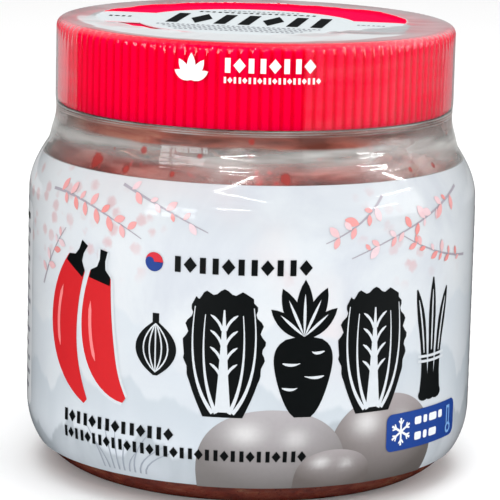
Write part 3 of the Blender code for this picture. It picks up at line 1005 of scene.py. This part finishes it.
def garlic(add, s, z, width, height):
    """A garlic bulb with its cloves marked."""
    figure = Figure(add, s, z, width, height)

    def half(t):
        bulb = math.sin(math.pi * t / 0.86) ** 0.7 if t < 0.86 else 0.0
        return max(bulb, 0.16 * smoothstep(0.5, 0.8, t), 0.10) / 2, t

    figure.fill_both(half)
    for k in (-2, -1, 0, 1, 2):
        clove = curve((0, 0.05), (k * 0.30, 0.42), (0, 0.84))
        figure.stroke(clove, [0.1 / width] + [0.034] * 9 + [0.1 / width])


def scallions(*where):
    """Three scallions side by side, tied."""
    figure = Figure(*where)
    for lean, tall in ((-0.34, 0.92), (0.0, 1.0), (0.34, 0.90)):
        line = curve((lean * 0.5, 0.04), (lean * 0.45, 0.5), (lean * 1.25, tall))
        wide = [0.26, 0.22, 0.17, 0.15, 0.15, 0.16, 0.18, 0.19, 0.17, 0.12, 0.03]
        figure.stroke(line, wide, INK_BLACK, 1)
        figure.stroke(line[4:10], [0.02] + [0.035] * 4 + [0.01])
        figure.fill(oval(lean * 0.5, 0.06, 0.30, 0.10, 16))
    for rise in (0.34, 0.38):
        figure.stroke(curve((-0.36, rise), (0, rise - 0.02), (0.36, rise), 6), [0.045] * 7, layer=3)


def chilli_pepper(add, tip, bend, stem, width, layer):
    """A red pepper from its tip to its stem, cut out of what is under it, with a black cap."""
    line = curve(tip, bend, stem, 18)
    wide = [width * (math.sin(math.pi * (0.03 + 0.77 * i / 18)) ** 0.8) for i in range(19)]
    along = (Vector(line[-1]) - Vector(line[-2])).normalized()
    cap = [tuple(Vector(line[-1]) + along * d) for d in (-1.6, 0.2, 1.4, 3.2, 5.4)]
    cap_wide = [width * w for w in (0.66, 0.62, 0.26, 0.17, 0.22)]
    if layer > 1:
        add(strip(line, [w + 1.5 for w in wide]), INK_CUT, layer)
        add(strip(cap, [w + 1.2 for w in cap_wide]), INK_CUT, layer)
    add(strip(line, wide), INK_RED, layer + 1)
    gleam = [(x - 0.20 * width, y) for x, y in line[7:16]]
    add(strip(gleam, [0.05] + [0.10 * width] * 7 + [0.05]), srgb(240, 128, 128), layer + 2)
    add(strip(cap, cap_wide), INK_BLACK, layer + 2)


def sprig(add, draw, start, bend, end, leaves):
    """A thin twig with salmon leaves on either side."""
    line = curve(start, bend, end, 16)
    add(strip(line, [0.6 - 0.4 * i / 16 for i in range(17)]), srgb(164, 158, 168), 1)
    for i in range(leaves):
        index = 2 + int((i + draw.random()) * 13 / leaves)
        foot = line[min(index, 15)]
        along = Vector(line[min(index + 1, 16)]) - Vector(foot)
        heading = math.degrees(math.atan2(along.x, along.y))
        tint = blended(srgb(222, 200, 206), srgb(226, 138, 134), draw.random())
        length = draw.uniform(1.8, 3.6)
        tilt = heading + (1 if i % 2 else -1) * draw.uniform(30, 75)
        add(leaf_shape(*foot, length, length * 0.5, tilt), tint, 2 + i % 3)


def mound(add, s, width, top, light, dark, layer):
    """A rounded hill that stands on the label's lower edge, with two soft gleams."""
    low = LABEL_LOW.z + 0.15
    outline = [(s + width / 2, low)]
    for turn in turns(40, math.pi):
        bulge = math.sin(turn) ** 0.62
        outline.append((s + width / 2 * math.cos(turn), low + 0.4 + (top - low) * bulge))
    outline.append((s - width / 2, low))

    def shade(at_s, at_z):
        across = (at_s - s) / (width / 2)
        up = (at_z - low) / (top - low)
        share = min(max(0.25 + 0.75 * (1 - up) + 0.30 * across * across, 0.0), 1.0)
        gleam = bell(across, -0.35, 0.22) * bell(up, 0.72, 0.14)
        gleam += 0.7 * bell(across, 0.30, 0.16) * bell(up, 0.66, 0.12)
        return blended(blended(light, dark, share), (0.72,) * 3, 0.75 * min(gleam, 1.0))

    add(outline, shade, layer)


def marks(add, start, end, z, size, colour, layer=4):
    """A row of lozenges and short bars."""
    pitch, half, bar = size * 0.80, size / 2, size * 0.19
    for i in range(int((end - start) / pitch)):
        s = start + pitch * (i + 0.5)
        box = [(s - bar, z - half), (s + bar, z - half), (s + bar, z + half), (s - bar, z + half)]
        add(lozenge(s, z, size * 0.42, half) if i % 3 == 1 else box, colour, layer)


def chill_badge(add, s, z):
    """A blue plate with a snowflake, a thermometer and rows of plain bars."""
    add(rounded_box(s, z, 24.6, 8.2, 1.6), INK_BLUE, 5)
    flake = s - 8.2
    for k in range(3):
        turn = math.pi * k / 3
        x, y = math.sin(turn) * 3.0, math.cos(turn) * 3.0
        add(strip([(flake - x, z - y), (flake + x, z + y)], [0.5, 0.5]), INK_WHITE, 6 + k)
        for way in (-1, 1):
            joint = (flake + way * x * 0.55, z + way * y * 0.55)
            for spur in (turn - 0.7, turn + 0.7):
                end = (joint[0] + way * math.sin(spur) * 1.1, joint[1] + way * math.cos(spur) * 1.1)
                add(strip([joint, end], [0.4, 0.3]), INK_WHITE, 9)
    for rise, lengths in ((1.7, (2.2, 1.3, 2.9, 1.6)), (-1.7, (2.2, 1.3, 2.9))):
        x = s - 3.9
        for length in lengths:
            add(rounded_box(x + length / 2, z + rise, length, 1.7, 0.4, 3), INK_WHITE, 6)
            x += length + 0.75
    pale, x = srgb(120, 170, 225), s + 9.2
    add(strip([(x, z - 1.8), (x, z + 2.9)], [1.5, 1.5]), pale, 6)
    add(strip([(x, z - 1.8), (x, z + 2.3)], [0.7, 0.7]), INK_BLUE, 7)
    add(oval(x, z - 2.1, 2.4, 2.4, 16), pale, 8)
    add(oval(x, z - 2.1, 1.3, 1.3, 12), INK_BLUE, 9)


def swirl_disc(add, s, z, size):
    """The small traditional red and blue disc."""
    radius, half = size / 2, size / 4
    add(oval(s, z, size, size, 32), srgb(206, 30, 50), 4)
    wave = arc(s + half, z, half, 0.0, -math.pi, 8) + arc(s - half, z, half, 0.0, math.pi, 8)[1:]
    add(arc(s, z, radius, math.pi, math.pi, 16) + wave[1:-1], srgb(20, 60, 140), 5)


def front_motifs(add, s):
    """The bold row: a pair of red peppers, then vegetables in black, with rows of marks."""
    chilli_pepper(add, (s - 38.6, 21.0), (s - 52.5, 34.0), (s - 42.0, 51.0), 9.6, 0)
    chilli_pepper(add, (s - 27.6, 23.0), (s - 38.5, 30.0), (s - 34.5, 49.5), 9.2, 3)
    garlic(add, s - 20.2, 29.5, 9.5, 13.5)
    cabbage(add, s - 5.2, 21.6, 17.0, 27.6)
    radish(add, s + 11.8, 21.8, 12.6, 28.6)
    cabbage(add, s + 28.2, 21.8, 17.0, 27.2)
    scallions(add, s + 45.6, 21.8, 13.0, 27.4)
    swirl_disc(add, s - 20.8, 54.0, 4.1)
    marks(add, s - 16.8, s + 14.0, 54.0, 3.4, INK_BLACK)
    marks(add, s - 46.0, s - 15.5, 17.0, 2.7, INK_BLACK)
    marks(add, s - 46.0, s + 14.0, 13.3, 2.3, INK_BLACK)
    chill_badge(add, s + 44.4, 16.4)


def side_panel(add, s):
    """A pale panel with rows of plain grey bars, between the two fronts."""
    add(rounded_box(s, 37.0, 27.0, 46.0, 2.5), srgb(240, 243, 246), 1)
    draw = random.Random(7)
    for row in range(13):
        tone, height = (INK_GREY, 1.1) if row else (INK_BLACK, 1.5)
        x = s - 11.5
        while x < s + 9.0:
            length = min(draw.uniform(1.6, 5.2), s + 11.5 - x)
            add(rounded_box(x + length / 2, 56.5 - row * 3.2, length, height, 0.3, 2), tone, 2)
            x += length + 0.9


# Mounds as middle, width, top, light and dark colour and layer, and sprigs as the start, bend and
# end of the twig and its number of leaves. Both are placed from the middle of a front.
MOUNDS = (
    (32.0, 29.0, 25.0, srgb(176, 168, 170), srgb(100, 94, 91), 0.0),
    (5.5, 33.0, 23.0, srgb(184, 180, 184), srgb(120, 116, 115), 0.35),
    (19.5, 18.0, 14.0, srgb(170, 164, 166), srgb(106, 99, 96), 0.7),
)
SPRIGS = (
    ((56.0, 67.5), (40.0, 62.0), (22.0, 55.5), 16),
    ((60.0, 52.0), (46.0, 53.5), (35.0, 59.5), 12),
    ((30.0, 68.0), (24.0, 62.0), (16.0, 59.0), 8),
    ((-52.0, 65.5), (-38.0, 66.0), (-24.0, 58.5), 13),
    ((-30.0, 69.0), (-20.0, 66.0), (-9.0, 61.0), 8),
    ((-56.0, 44.0), (-52.0, 52.0), (-46.0, 58.0), 7),
)


def make_print():
    """All the print on the label: the same front twice, and a panel on either side between them."""
    ink = printed_ink()
    half_way = math.pi * LABEL_RADIUS
    draw = random.Random(5)
    hills, twigs = Print("print_mounds", 1.0), Print("print_sprigs", 2.0)
    motifs = Print("print_motifs", 2.5)
    for s in (0.0, half_way):
        for middle, *shape in MOUNDS:
            mound(hills.add, s + middle, *shape)
        for *line, leaves in SPRIGS:
            sprig(twigs.add, draw, *[(s + x, z) for x, z in line], leaves)
        for k in range(9):
            foot = (s - 34.0 + 1.4 * k, 7.4)
            tip = (s - 39.0 + 3.0 * k, draw.uniform(11.0, 17.0))
            blade = curve(foot, (foot[0], (foot[1] + tip[1]) / 2), tip, 6)
            twigs.add(strip(blade, [0.45, 0.4, 0.35, 0.3, 0.25, 0.15, 0.08]), srgb(150, 158, 170), 1)
        front_motifs(motifs.add, s)
    for share in (0.54, -0.50):
        side_panel(motifs.add, half_way * share)
    for sheet in (hills, twigs, motifs):
        sheet.make(ink)


def make_sticker_print():
    """Print on the paper label: a band of bold bars and lozenges between rows of small ones."""
    def flat(x, y, lift):
        return Vector((*on_sticker(x, y), STICKER_HIGH.z + lift)) * MM

    sheet = Print("sticker_print", 12.0)
    z, half = 2.5, 9.0
    for k in range(7):
        x = 5.4 * (k - 3)
        bar = rounded_box(x, z, 2.6, 2 * half, 0.3)
        sheet.add(lozenge(x, z, 2.4, half) if k % 3 == 1 else bar, INK_BLACK, 1)
    rows = [(-14.0, 14.0, 16.0, 1.8, INK_BLACK), (-9.0, 9.0, 19.5, 1.4, INK_GREY)]
    rows += [(24.0, 31.0, 2.0, 1.4, INK_GREY), (-32.0, -25.0, 1.0, 1.8, INK_BLACK)]
    rows += [(1.8 * i - 19.0, 19.0 - 1.8 * i, -10.0 - 2.6 * i, 1.4, INK_GREY) for i in range(4)]
    for row in rows:
        marks(sheet.add, *row, 1)
    sheet.make(paper_ink(), flat, 0.0, "lid_paper")


def make_film_print():
    """White print on the film over the lid: a spray of leaves beside two rows of marks."""
    radius, low = 44.5, 91.8

    def on_film(s, z, lift):
        return Vector(around(radius + lift, s / radius, z)) * MM

    sheet = Print("film_print", 1.5)
    for lean, length in ((-62, 4.2), (-32, 5.2), (0, 5.8), (32, 5.2), (62, 4.2)):
        sheet.add(leaf_shape(-13.6, low + 0.4, length, 1.9, lean), INK_WHITE, 1)
    marks(sheet.add, -7.0, 14.5, low + 3.9, 3.1, INK_WHITE, 1)
    marks(sheet.add, -6.8, 14.2, low + 0.8, 1.3, INK_WHITE, 1)
    sheet.make(printed_ink(), on_film, 0.0, "clear_film")


# Kimchi


class Heap:
    """Many small meshes gathered into one, each with its own tint."""

    def __init__(self):
        self.vertices, self.faces, self.tints = [], [], []

    def add(self, vertices, faces, tints):
        start = len(self.vertices)
        self.vertices += vertices
        self.faces += [tuple(start + i for i in face) for face in faces]
        self.tints += tints

    def make(self, name, look):
        made = make_object(name, self.vertices, self.faces, look)
        layer = made.data.attributes.new("tint", "FLOAT_COLOR", "POINT")
        layer.data.foreach_set("color", [c for tint in self.tints for c in (*tint, 1.0)])
        dress(made, "kimchi")


def keep_in_jar(point):
    """Moves a point that is past the jar's inner wall back inside it."""
    x, y, z = point
    room = inner_radius(min(z, 78.0)) - WALL_GAP
    reach = math.hypot(x, y)
    if reach > room:
        x, y = x * room / reach, y * room / reach
    return (x, y, z)


def lay(heap, part, centre, turn, tints):
    """Places a small mesh by its centre and a rotation, moved in where it would meet the wall."""
    vertices, faces = part
    placed = [turn @ Vector(v) + Vector(centre) for v in vertices]
    for _ in range(3):
        worst, way = 0.0, None
        for point in placed:
            kept = keep_in_jar(tuple(point))
            over = math.hypot(point.x - kept[0], point.y - kept[1])
            if over > worst:
                worst, way = over, Vector((kept[0] - point.x, kept[1] - point.y, 0.0))
        if way is None:
            break
        placed = [point + way for point in placed]
    heap.add([keep_in_jar(tuple(point)) for point in placed], faces, tints)


def slab(draw, length, width, thickness, curl, ruffle, rows=12, columns=7):
    """A cut piece of cabbage, as two wavy faces joined round their edge."""
    phase = draw.uniform(0, 9)
    points = []
    for face in (1, -1):
        for i in range(rows):
            u = i / (rows - 1) - 0.5
            for j in range(columns):
                v = j / (columns - 1) - 0.5
                edge = abs(2 * v)
                thick = thickness * (1 - 0.75 * edge ** 1.5) * (1 - 0.5 * abs(2 * u) ** 4)
                wave = ruffle * edge * math.sin(u * 13 + phase + 2.0 * v)
                wave += ruffle * 0.5 * math.sin(u * 6 + phase * 2)
                x = u * length * (1 - 0.12 * edge)
                y = v * width * (1 - 0.5 * abs(2 * u) ** 3)
                points.append((x, y, wave + curl * (4 * v * v - 1.2 * u * u) + face * thick / 2))
    count = rows * columns
    top = grid_faces(rows, columns, False)
    faces = top + [tuple(count + i for i in reversed(face)) for face in top]
    rim = [i * columns for i in range(rows)]
    rim += [(rows - 1) * columns + j for j in range(1, columns)]
    rim += [i * columns + columns - 1 for i in range(rows - 2, -1, -1)]
    rim += list(range(columns - 2, 0, -1))
    faces += [(b, a, count + a, count + b) for a, b in zip(rim, rim[1:] + rim[:1])]
    return points, faces


def scatter_place(draw, spread=43.0):
    """A random place over the heap's round top."""
    reach = spread * math.sqrt(draw.random())
    angle = draw.uniform(0, 2 * math.pi)
    return reach * math.cos(angle), reach * math.sin(angle)


def heap_height(x, y):
    """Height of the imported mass's top: a low crown with lumps."""
    crown = 1.2 * (1 - (math.hypot(x, y) / 46.0) ** 2)
    lumps = noise.fractal(Vector((x * 0.09, y * 0.09, 3.0)), 1.0, 2.0, 4)
    return KIMCHI_LEVEL - 1.4 + crown + 1.1 * lumps


def make_kimchi_mass():
    """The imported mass, out to just inside the jar's wall, with its lumpy top."""
    gap = 0.06
    side = between(wall_moved(gap - WALL), 1.6, KIMCHI_SIDE)
    rim = side[-1][0]
    profile = [(rim * i / 26, None) for i in range(27)] + side[::-1]
    profile += [(STANDING_RADIUS - RING_WIDTH, WALL), (PUSH_UP_RADIUS, PUSH_UP_EDGE + WALL - 0.05)]
    profile.append((0.0, PUSH_UP + WALL - 0.05))

    def lumpy(r, z, angle):
        """The top's points have no height of their own, and get the heap's."""
        if z is not None:
            return r, z
        blend = smoothstep(rim - 3.0, rim, r)
        return r, heap_height(*around(r, angle, 0.0)[:2]) * (1 - blend) + KIMCHI_SIDE * blend

    mass = turned("kimchi_mass", profile, kimchi_sauce(), 160, shape=lumpy, crease=70.0)
    dress(mass, "kimchi", "kimchi")


def spin(angle, axis):
    return Matrix.Rotation(angle, 3, axis)


def make_kimchi_pieces():
    """Cut cabbage, radish strips and scallion over the mass."""
    draw = random.Random(23)
    look = kimchi_flesh()
    leaves = Heap()
    for i in range(LEAF_COUNT):
        x, y = scatter_place(draw)
        leafy = i % 2
        length = draw.uniform(16, 26)
        width = draw.uniform(11, 18)
        thickness = draw.uniform(0.7, 1.1) if leafy else draw.uniform(2.0, 3.2)
        part = slab(draw, length, width, thickness, draw.uniform(0.4, 1.6), 1.3 if leafy else 0.4)
        rise = heap_height(x, y) + draw.uniform(0.4, 2.2)
        turn = spin(draw.uniform(0, 2 * math.pi), "Z") @ spin(math.radians(draw.uniform(-24, 24)), "X")
        turn = turn @ spin(math.radians(draw.uniform(-14, 14)), "Y")
        rib = Vector(draw.choice(STEM_TINTS))
        edge = Vector(draw.choice(LEAF_TINTS)) if leafy else rib * 0.9
        tints = [tuple(rib.lerp(edge, min(abs(point[1]) / (width / 2), 1.0))) for point in part[0]]
        lay(leaves, part, (x, y, rise), turn, tints)
    leaves.make("kimchi_cabbage", look)

    strips = Heap()
    for i in range(STRIP_COUNT):
        x, y = scatter_place(draw)
        green = i % 5 == 0
        length = draw.uniform(9, 15) if green else draw.uniform(16, 28)
        width, thickness, tint = (3.4, 0.8, SCALLION_TINT) if green else (2.2, 1.9, RADISH_TINT)
        part = slab(draw, length, width, thickness, 0.0, 0.5, 10, 4)
        rise = heap_height(x, y) + draw.uniform(1.4, 3.2)
        turn = spin(draw.uniform(0, 2 * math.pi), "Z") @ spin(math.radians(draw.uniform(-12, 12)), "Y")
        lay(strips, part, (x, y, rise), turn, [tint] * len(part[0]))
    strips.make("kimchi_strips", look)


def smear_share(degrees, z):
    """How thickly the wall is smeared above the heap, with an uneven upper edge."""
    wander, fine = wandering(degrees, z, 9.0, 0.25, 0.6)
    at = z + 0.7 * wander + 0.3 * fine
    thin = plateau(28.0, 48.0, 110.0, 140.0, degrees)
    return min((1 - smoothstep(73.8, 75.2, at)) * (0.85 + 0.25 * wander) * (1 - 0.5 * thin), 1.0)


def make_smear():
    """Seasoning on the inside of the jar's wall, above the heap."""
    inside = wall_moved(-WALL - WALL_GAP)
    columns = 360
    rows = [float(z) for z in np.arange(KIMCHI_LEVEL - 1.6, SMEAR_TOP, 0.3)]
    vertices, shares = [], []
    for z in rows:
        r = radius_at(inside, z)
        for angle in turns(columns)[:-1]:
            vertices.append(around(r, angle, z))
            shares.append(smear_share(from_front(angle), z))
    smear = make_object("sauce_smear", vertices, grid_faces(len(rows), columns, True), wall_sauce())
    set_shares(smear, "smear", shares)
    dress(smear, "kimchi")


def lens(top, low, ring):
    """A small closed mesh: a ring of points, joined to one above and one below its middle."""
    count = len(ring)
    faces = []
    for i in range(count):
        j = (i + 1) % count
        faces += [(0, 2 + i, 2 + j), (1, 2 + j, 2 + i)]
    return [(0.0, 0.0, top), (0.0, 0.0, low)] + ring, faces


def drop(draw, size):
    """A flat round drop with an uneven edge."""
    ring = []
    for angle in turns(12)[:-1]:
        reach = size / 2 * draw.uniform(0.88, 1.1)
        ring.append((reach * math.cos(angle), reach * math.sin(angle), 0.05 * size))
    return lens(0.22 * size, 0.0, ring)


def flake(draw, size):
    """A crumpled flake, raised in the middle on both sides."""
    ring = []
    for angle in turns(draw.randint(4, 6))[:-1]:
        reach = size / 2 * draw.uniform(0.6, 1.1)
        ring.append((reach * math.cos(angle), reach * math.sin(angle), draw.uniform(-0.12, 0.12) * size))
    return lens(0.16 * size, -0.16 * size, ring)


def make_flakes():
    """Chilli flakes on the heap, and drops of seasoning stuck to the inside of the wall above it."""
    draw = random.Random(31)
    heap = Heap()
    for _ in range(FLAKE_COUNT):
        x, y = scatter_place(draw, 44.0)
        part = flake(draw, draw.uniform(0.7, 1.8))
        turn = spin(draw.uniform(0, 6.3), "Z") @ spin(draw.uniform(-0.6, 0.6), "X")
        rise = heap_height(x, y) + draw.uniform(1.0, 3.8)
        lay(heap, part, (x, y, rise), turn, [CHILLI_TINT] * len(part[0]))
    stuck = [
        (draw.uniform(-180.0, 180.0), 9.5 * draw.random() ** 1.8, draw.uniform(0.5, 1.5))
        for _ in range(DROP_COUNT)
    ]
    for degrees, rise, size in stuck:
        angle = math.radians(degrees)
        z = KIMCHI_LEVEL + rise
        part = drop(draw, size)
        centre = around(inner_radius(z) - 0.25, angle, z)
        lay(heap, part, centre, spin(angle, "Z") @ spin(QUARTER, "X"), [CHILLI_TINT] * len(part[0]))
    heap.make("chilli_flakes", chilli())


# Stage, lamps and camera

# Lamps as name, place, size, power and whether the part mirrors them
LAMPS = (
    ("overhead", (0.0, 0.1, 1.3), (1.0, 1.0), 5.6, False),
    ("front", (-0.3, -1.4, 0.55), (1.2, 0.8), 6.2, False),
    ("right", (1.1, -0.2, 0.35), (0.7, 0.5), 2.0, True),
    ("back", (0.0, 1.5, 1.0), (2.6, 0.7), 3.3, True),
    ("ceiling", (0.0, 0.0, 1.6), (1.6, 1.6), 3.0, True),
)
# Small lamps behind the jar that light its edges low down, as name, azimuth and power
LOW_LAMPS = (("low_left", -146.5, 0.026), ("low_right", 149.0, 0.012))
# Thin lamps, each from one (azimuth, elevation) to another, and the square panes of a window
TUBES = (
    ((8, 57), (-23, 43)), ((-23, 43), (8, 34)), ((82, 44), (98, 30)), ((96, 25), (72, 28)),
    ((-19, 23), (-2, 23)), ((59, 17), (81, 17)), ((30, 72), (110, 66)),
)
TUBE_WIDTH = 0.014
TUBE_POWER = 0.8
PANE_SIDE = 0.15
PANE_POWER = 0.34
PANE_PITCH = 9.0
SHOULDER_POINT = Vector((0.0, 0.0, 0.07))


def area_lamp(name, place, target, size, power, glossy=True):
    """A soft rectangular lamp that faces its target."""
    data = bpy.data.lights.new(name, "AREA")
    data.shape = "RECTANGLE"
    data.size, data.size_y = size
    data.energy = power
    lamp = in_scene(name, data)
    lamp.location = place
    lamp.rotation_euler = (Vector(target) - Vector(place)).to_track_quat("-Z", "Y").to_euler()
    lamp.visible_camera = False
    lamp.visible_glossy = glossy
    return lamp


def toward(azimuth, elevation, distance=1.2):
    """A place seen from the jar's shoulder, by azimuth from the front and elevation in degrees."""
    rise = math.radians(elevation)
    way = Vector(around(math.cos(rise), math.radians(azimuth), math.sin(rise)))
    return SHOULDER_POINT + way * distance


def tube_lamp(name, start, end):
    """A thin lamp from start to end that faces the jar."""
    middle = (start + end) / 2
    size = ((end - start).length, TUBE_WIDTH)
    lamp = area_lamp(name, middle, SHOULDER_POINT, size, TUBE_POWER)
    along = (end - start).normalized()
    side = (middle - SHOULDER_POINT).normalized().cross(along).normalized()
    lamp.rotation_euler = Matrix((along, side, along.cross(side))).transposed().to_euler()


def make_stage():
    """Pale floor, plain soft light and a white surround."""
    look = Look("stage_floor")
    shade = look.mix(look.noise(3.0, 2.0), (0.93,) * 3, (0.96,) * 3)
    floor_look = look.finish(look.principled(shade, Roughness=0.9, Specular_IOR_Level=0.0))
    reach = 9000.0
    corners = [(-reach, -reach, 0), (reach, -reach, 0), (reach, reach, 0), (-reach, reach, 0)]
    floor = make_object("floor", corners, [(0, 1, 2, 3)], floor_look, smooth=False)
    floor.visible_glossy = False

    world = bpy.data.worlds.new("surround")
    bpy.context.scene.world = world
    world.use_nodes = True
    surround = world.node_tree.nodes["Background"].inputs
    surround["Color"].default_value = (*WHITE, 1.0)
    surround["Strength"].default_value = 0.58
    world.cycles_visibility.glossy = False

    middle = (0.0, 0.0, 0.05)
    for name, place, size, power, glossy in LAMPS:
        area_lamp(name, place, middle, size, power, glossy)
    for name, azimuth, power in LOW_LAMPS:
        low = toward(azimuth, 0.0, 0.45)
        low.z = 0.035
        area_lamp(name, low, (0.0, 0.0, low.z), (0.25, 0.06), power)
    for i in range(6):
        tall, across = divmod(i, 3)
        pane = toward(-50.0 + PANE_PITCH * across, 8.0 + PANE_PITCH * tall)
        area_lamp(f"pane_{i}", pane, middle, (PANE_SIDE, PANE_SIDE), PANE_POWER)
    for i, (start, end) in enumerate(TUBES):
        tube_lamp(f"tube_{i}", toward(*start), toward(*end))


def make_camera():
    """The photograph's view: a long lens from a little above, rolled by about a degree."""
    data = bpy.data.cameras.new("camera")
    data.sensor_width = 36.0
    data.lens = 215.65
    data.clip_start, data.clip_end = 0.01, 50.0
    camera = in_scene("camera", data)
    down, roll = math.radians(10.94), 0.0245
    turn = Matrix.Rotation(QUARTER - down, 4, "X") @ Matrix.Rotation(roll, 4, "Z")
    camera.matrix_world = Matrix.Translation((-0.00018, -0.6636, 0.1764)) @ turn
    bpy.context.scene.camera = camera


make_camera()
make_stage()
make_jar()
make_lid()
make_label()
make_film()
make_sticker()
make_print()
make_sticker_print()
make_film_print()
make_kimchi_mass()
make_kimchi_pieces()
make_smear()
make_flakes()

scene = bpy.context.scene
scene.view_settings.view_transform = "Standard"
scene.view_settings.look = "None"
scene.cycles.transparent_max_bounces = 24
scene.cycles.max_bounces = 16
scene.cycles.transmission_bounces = 14
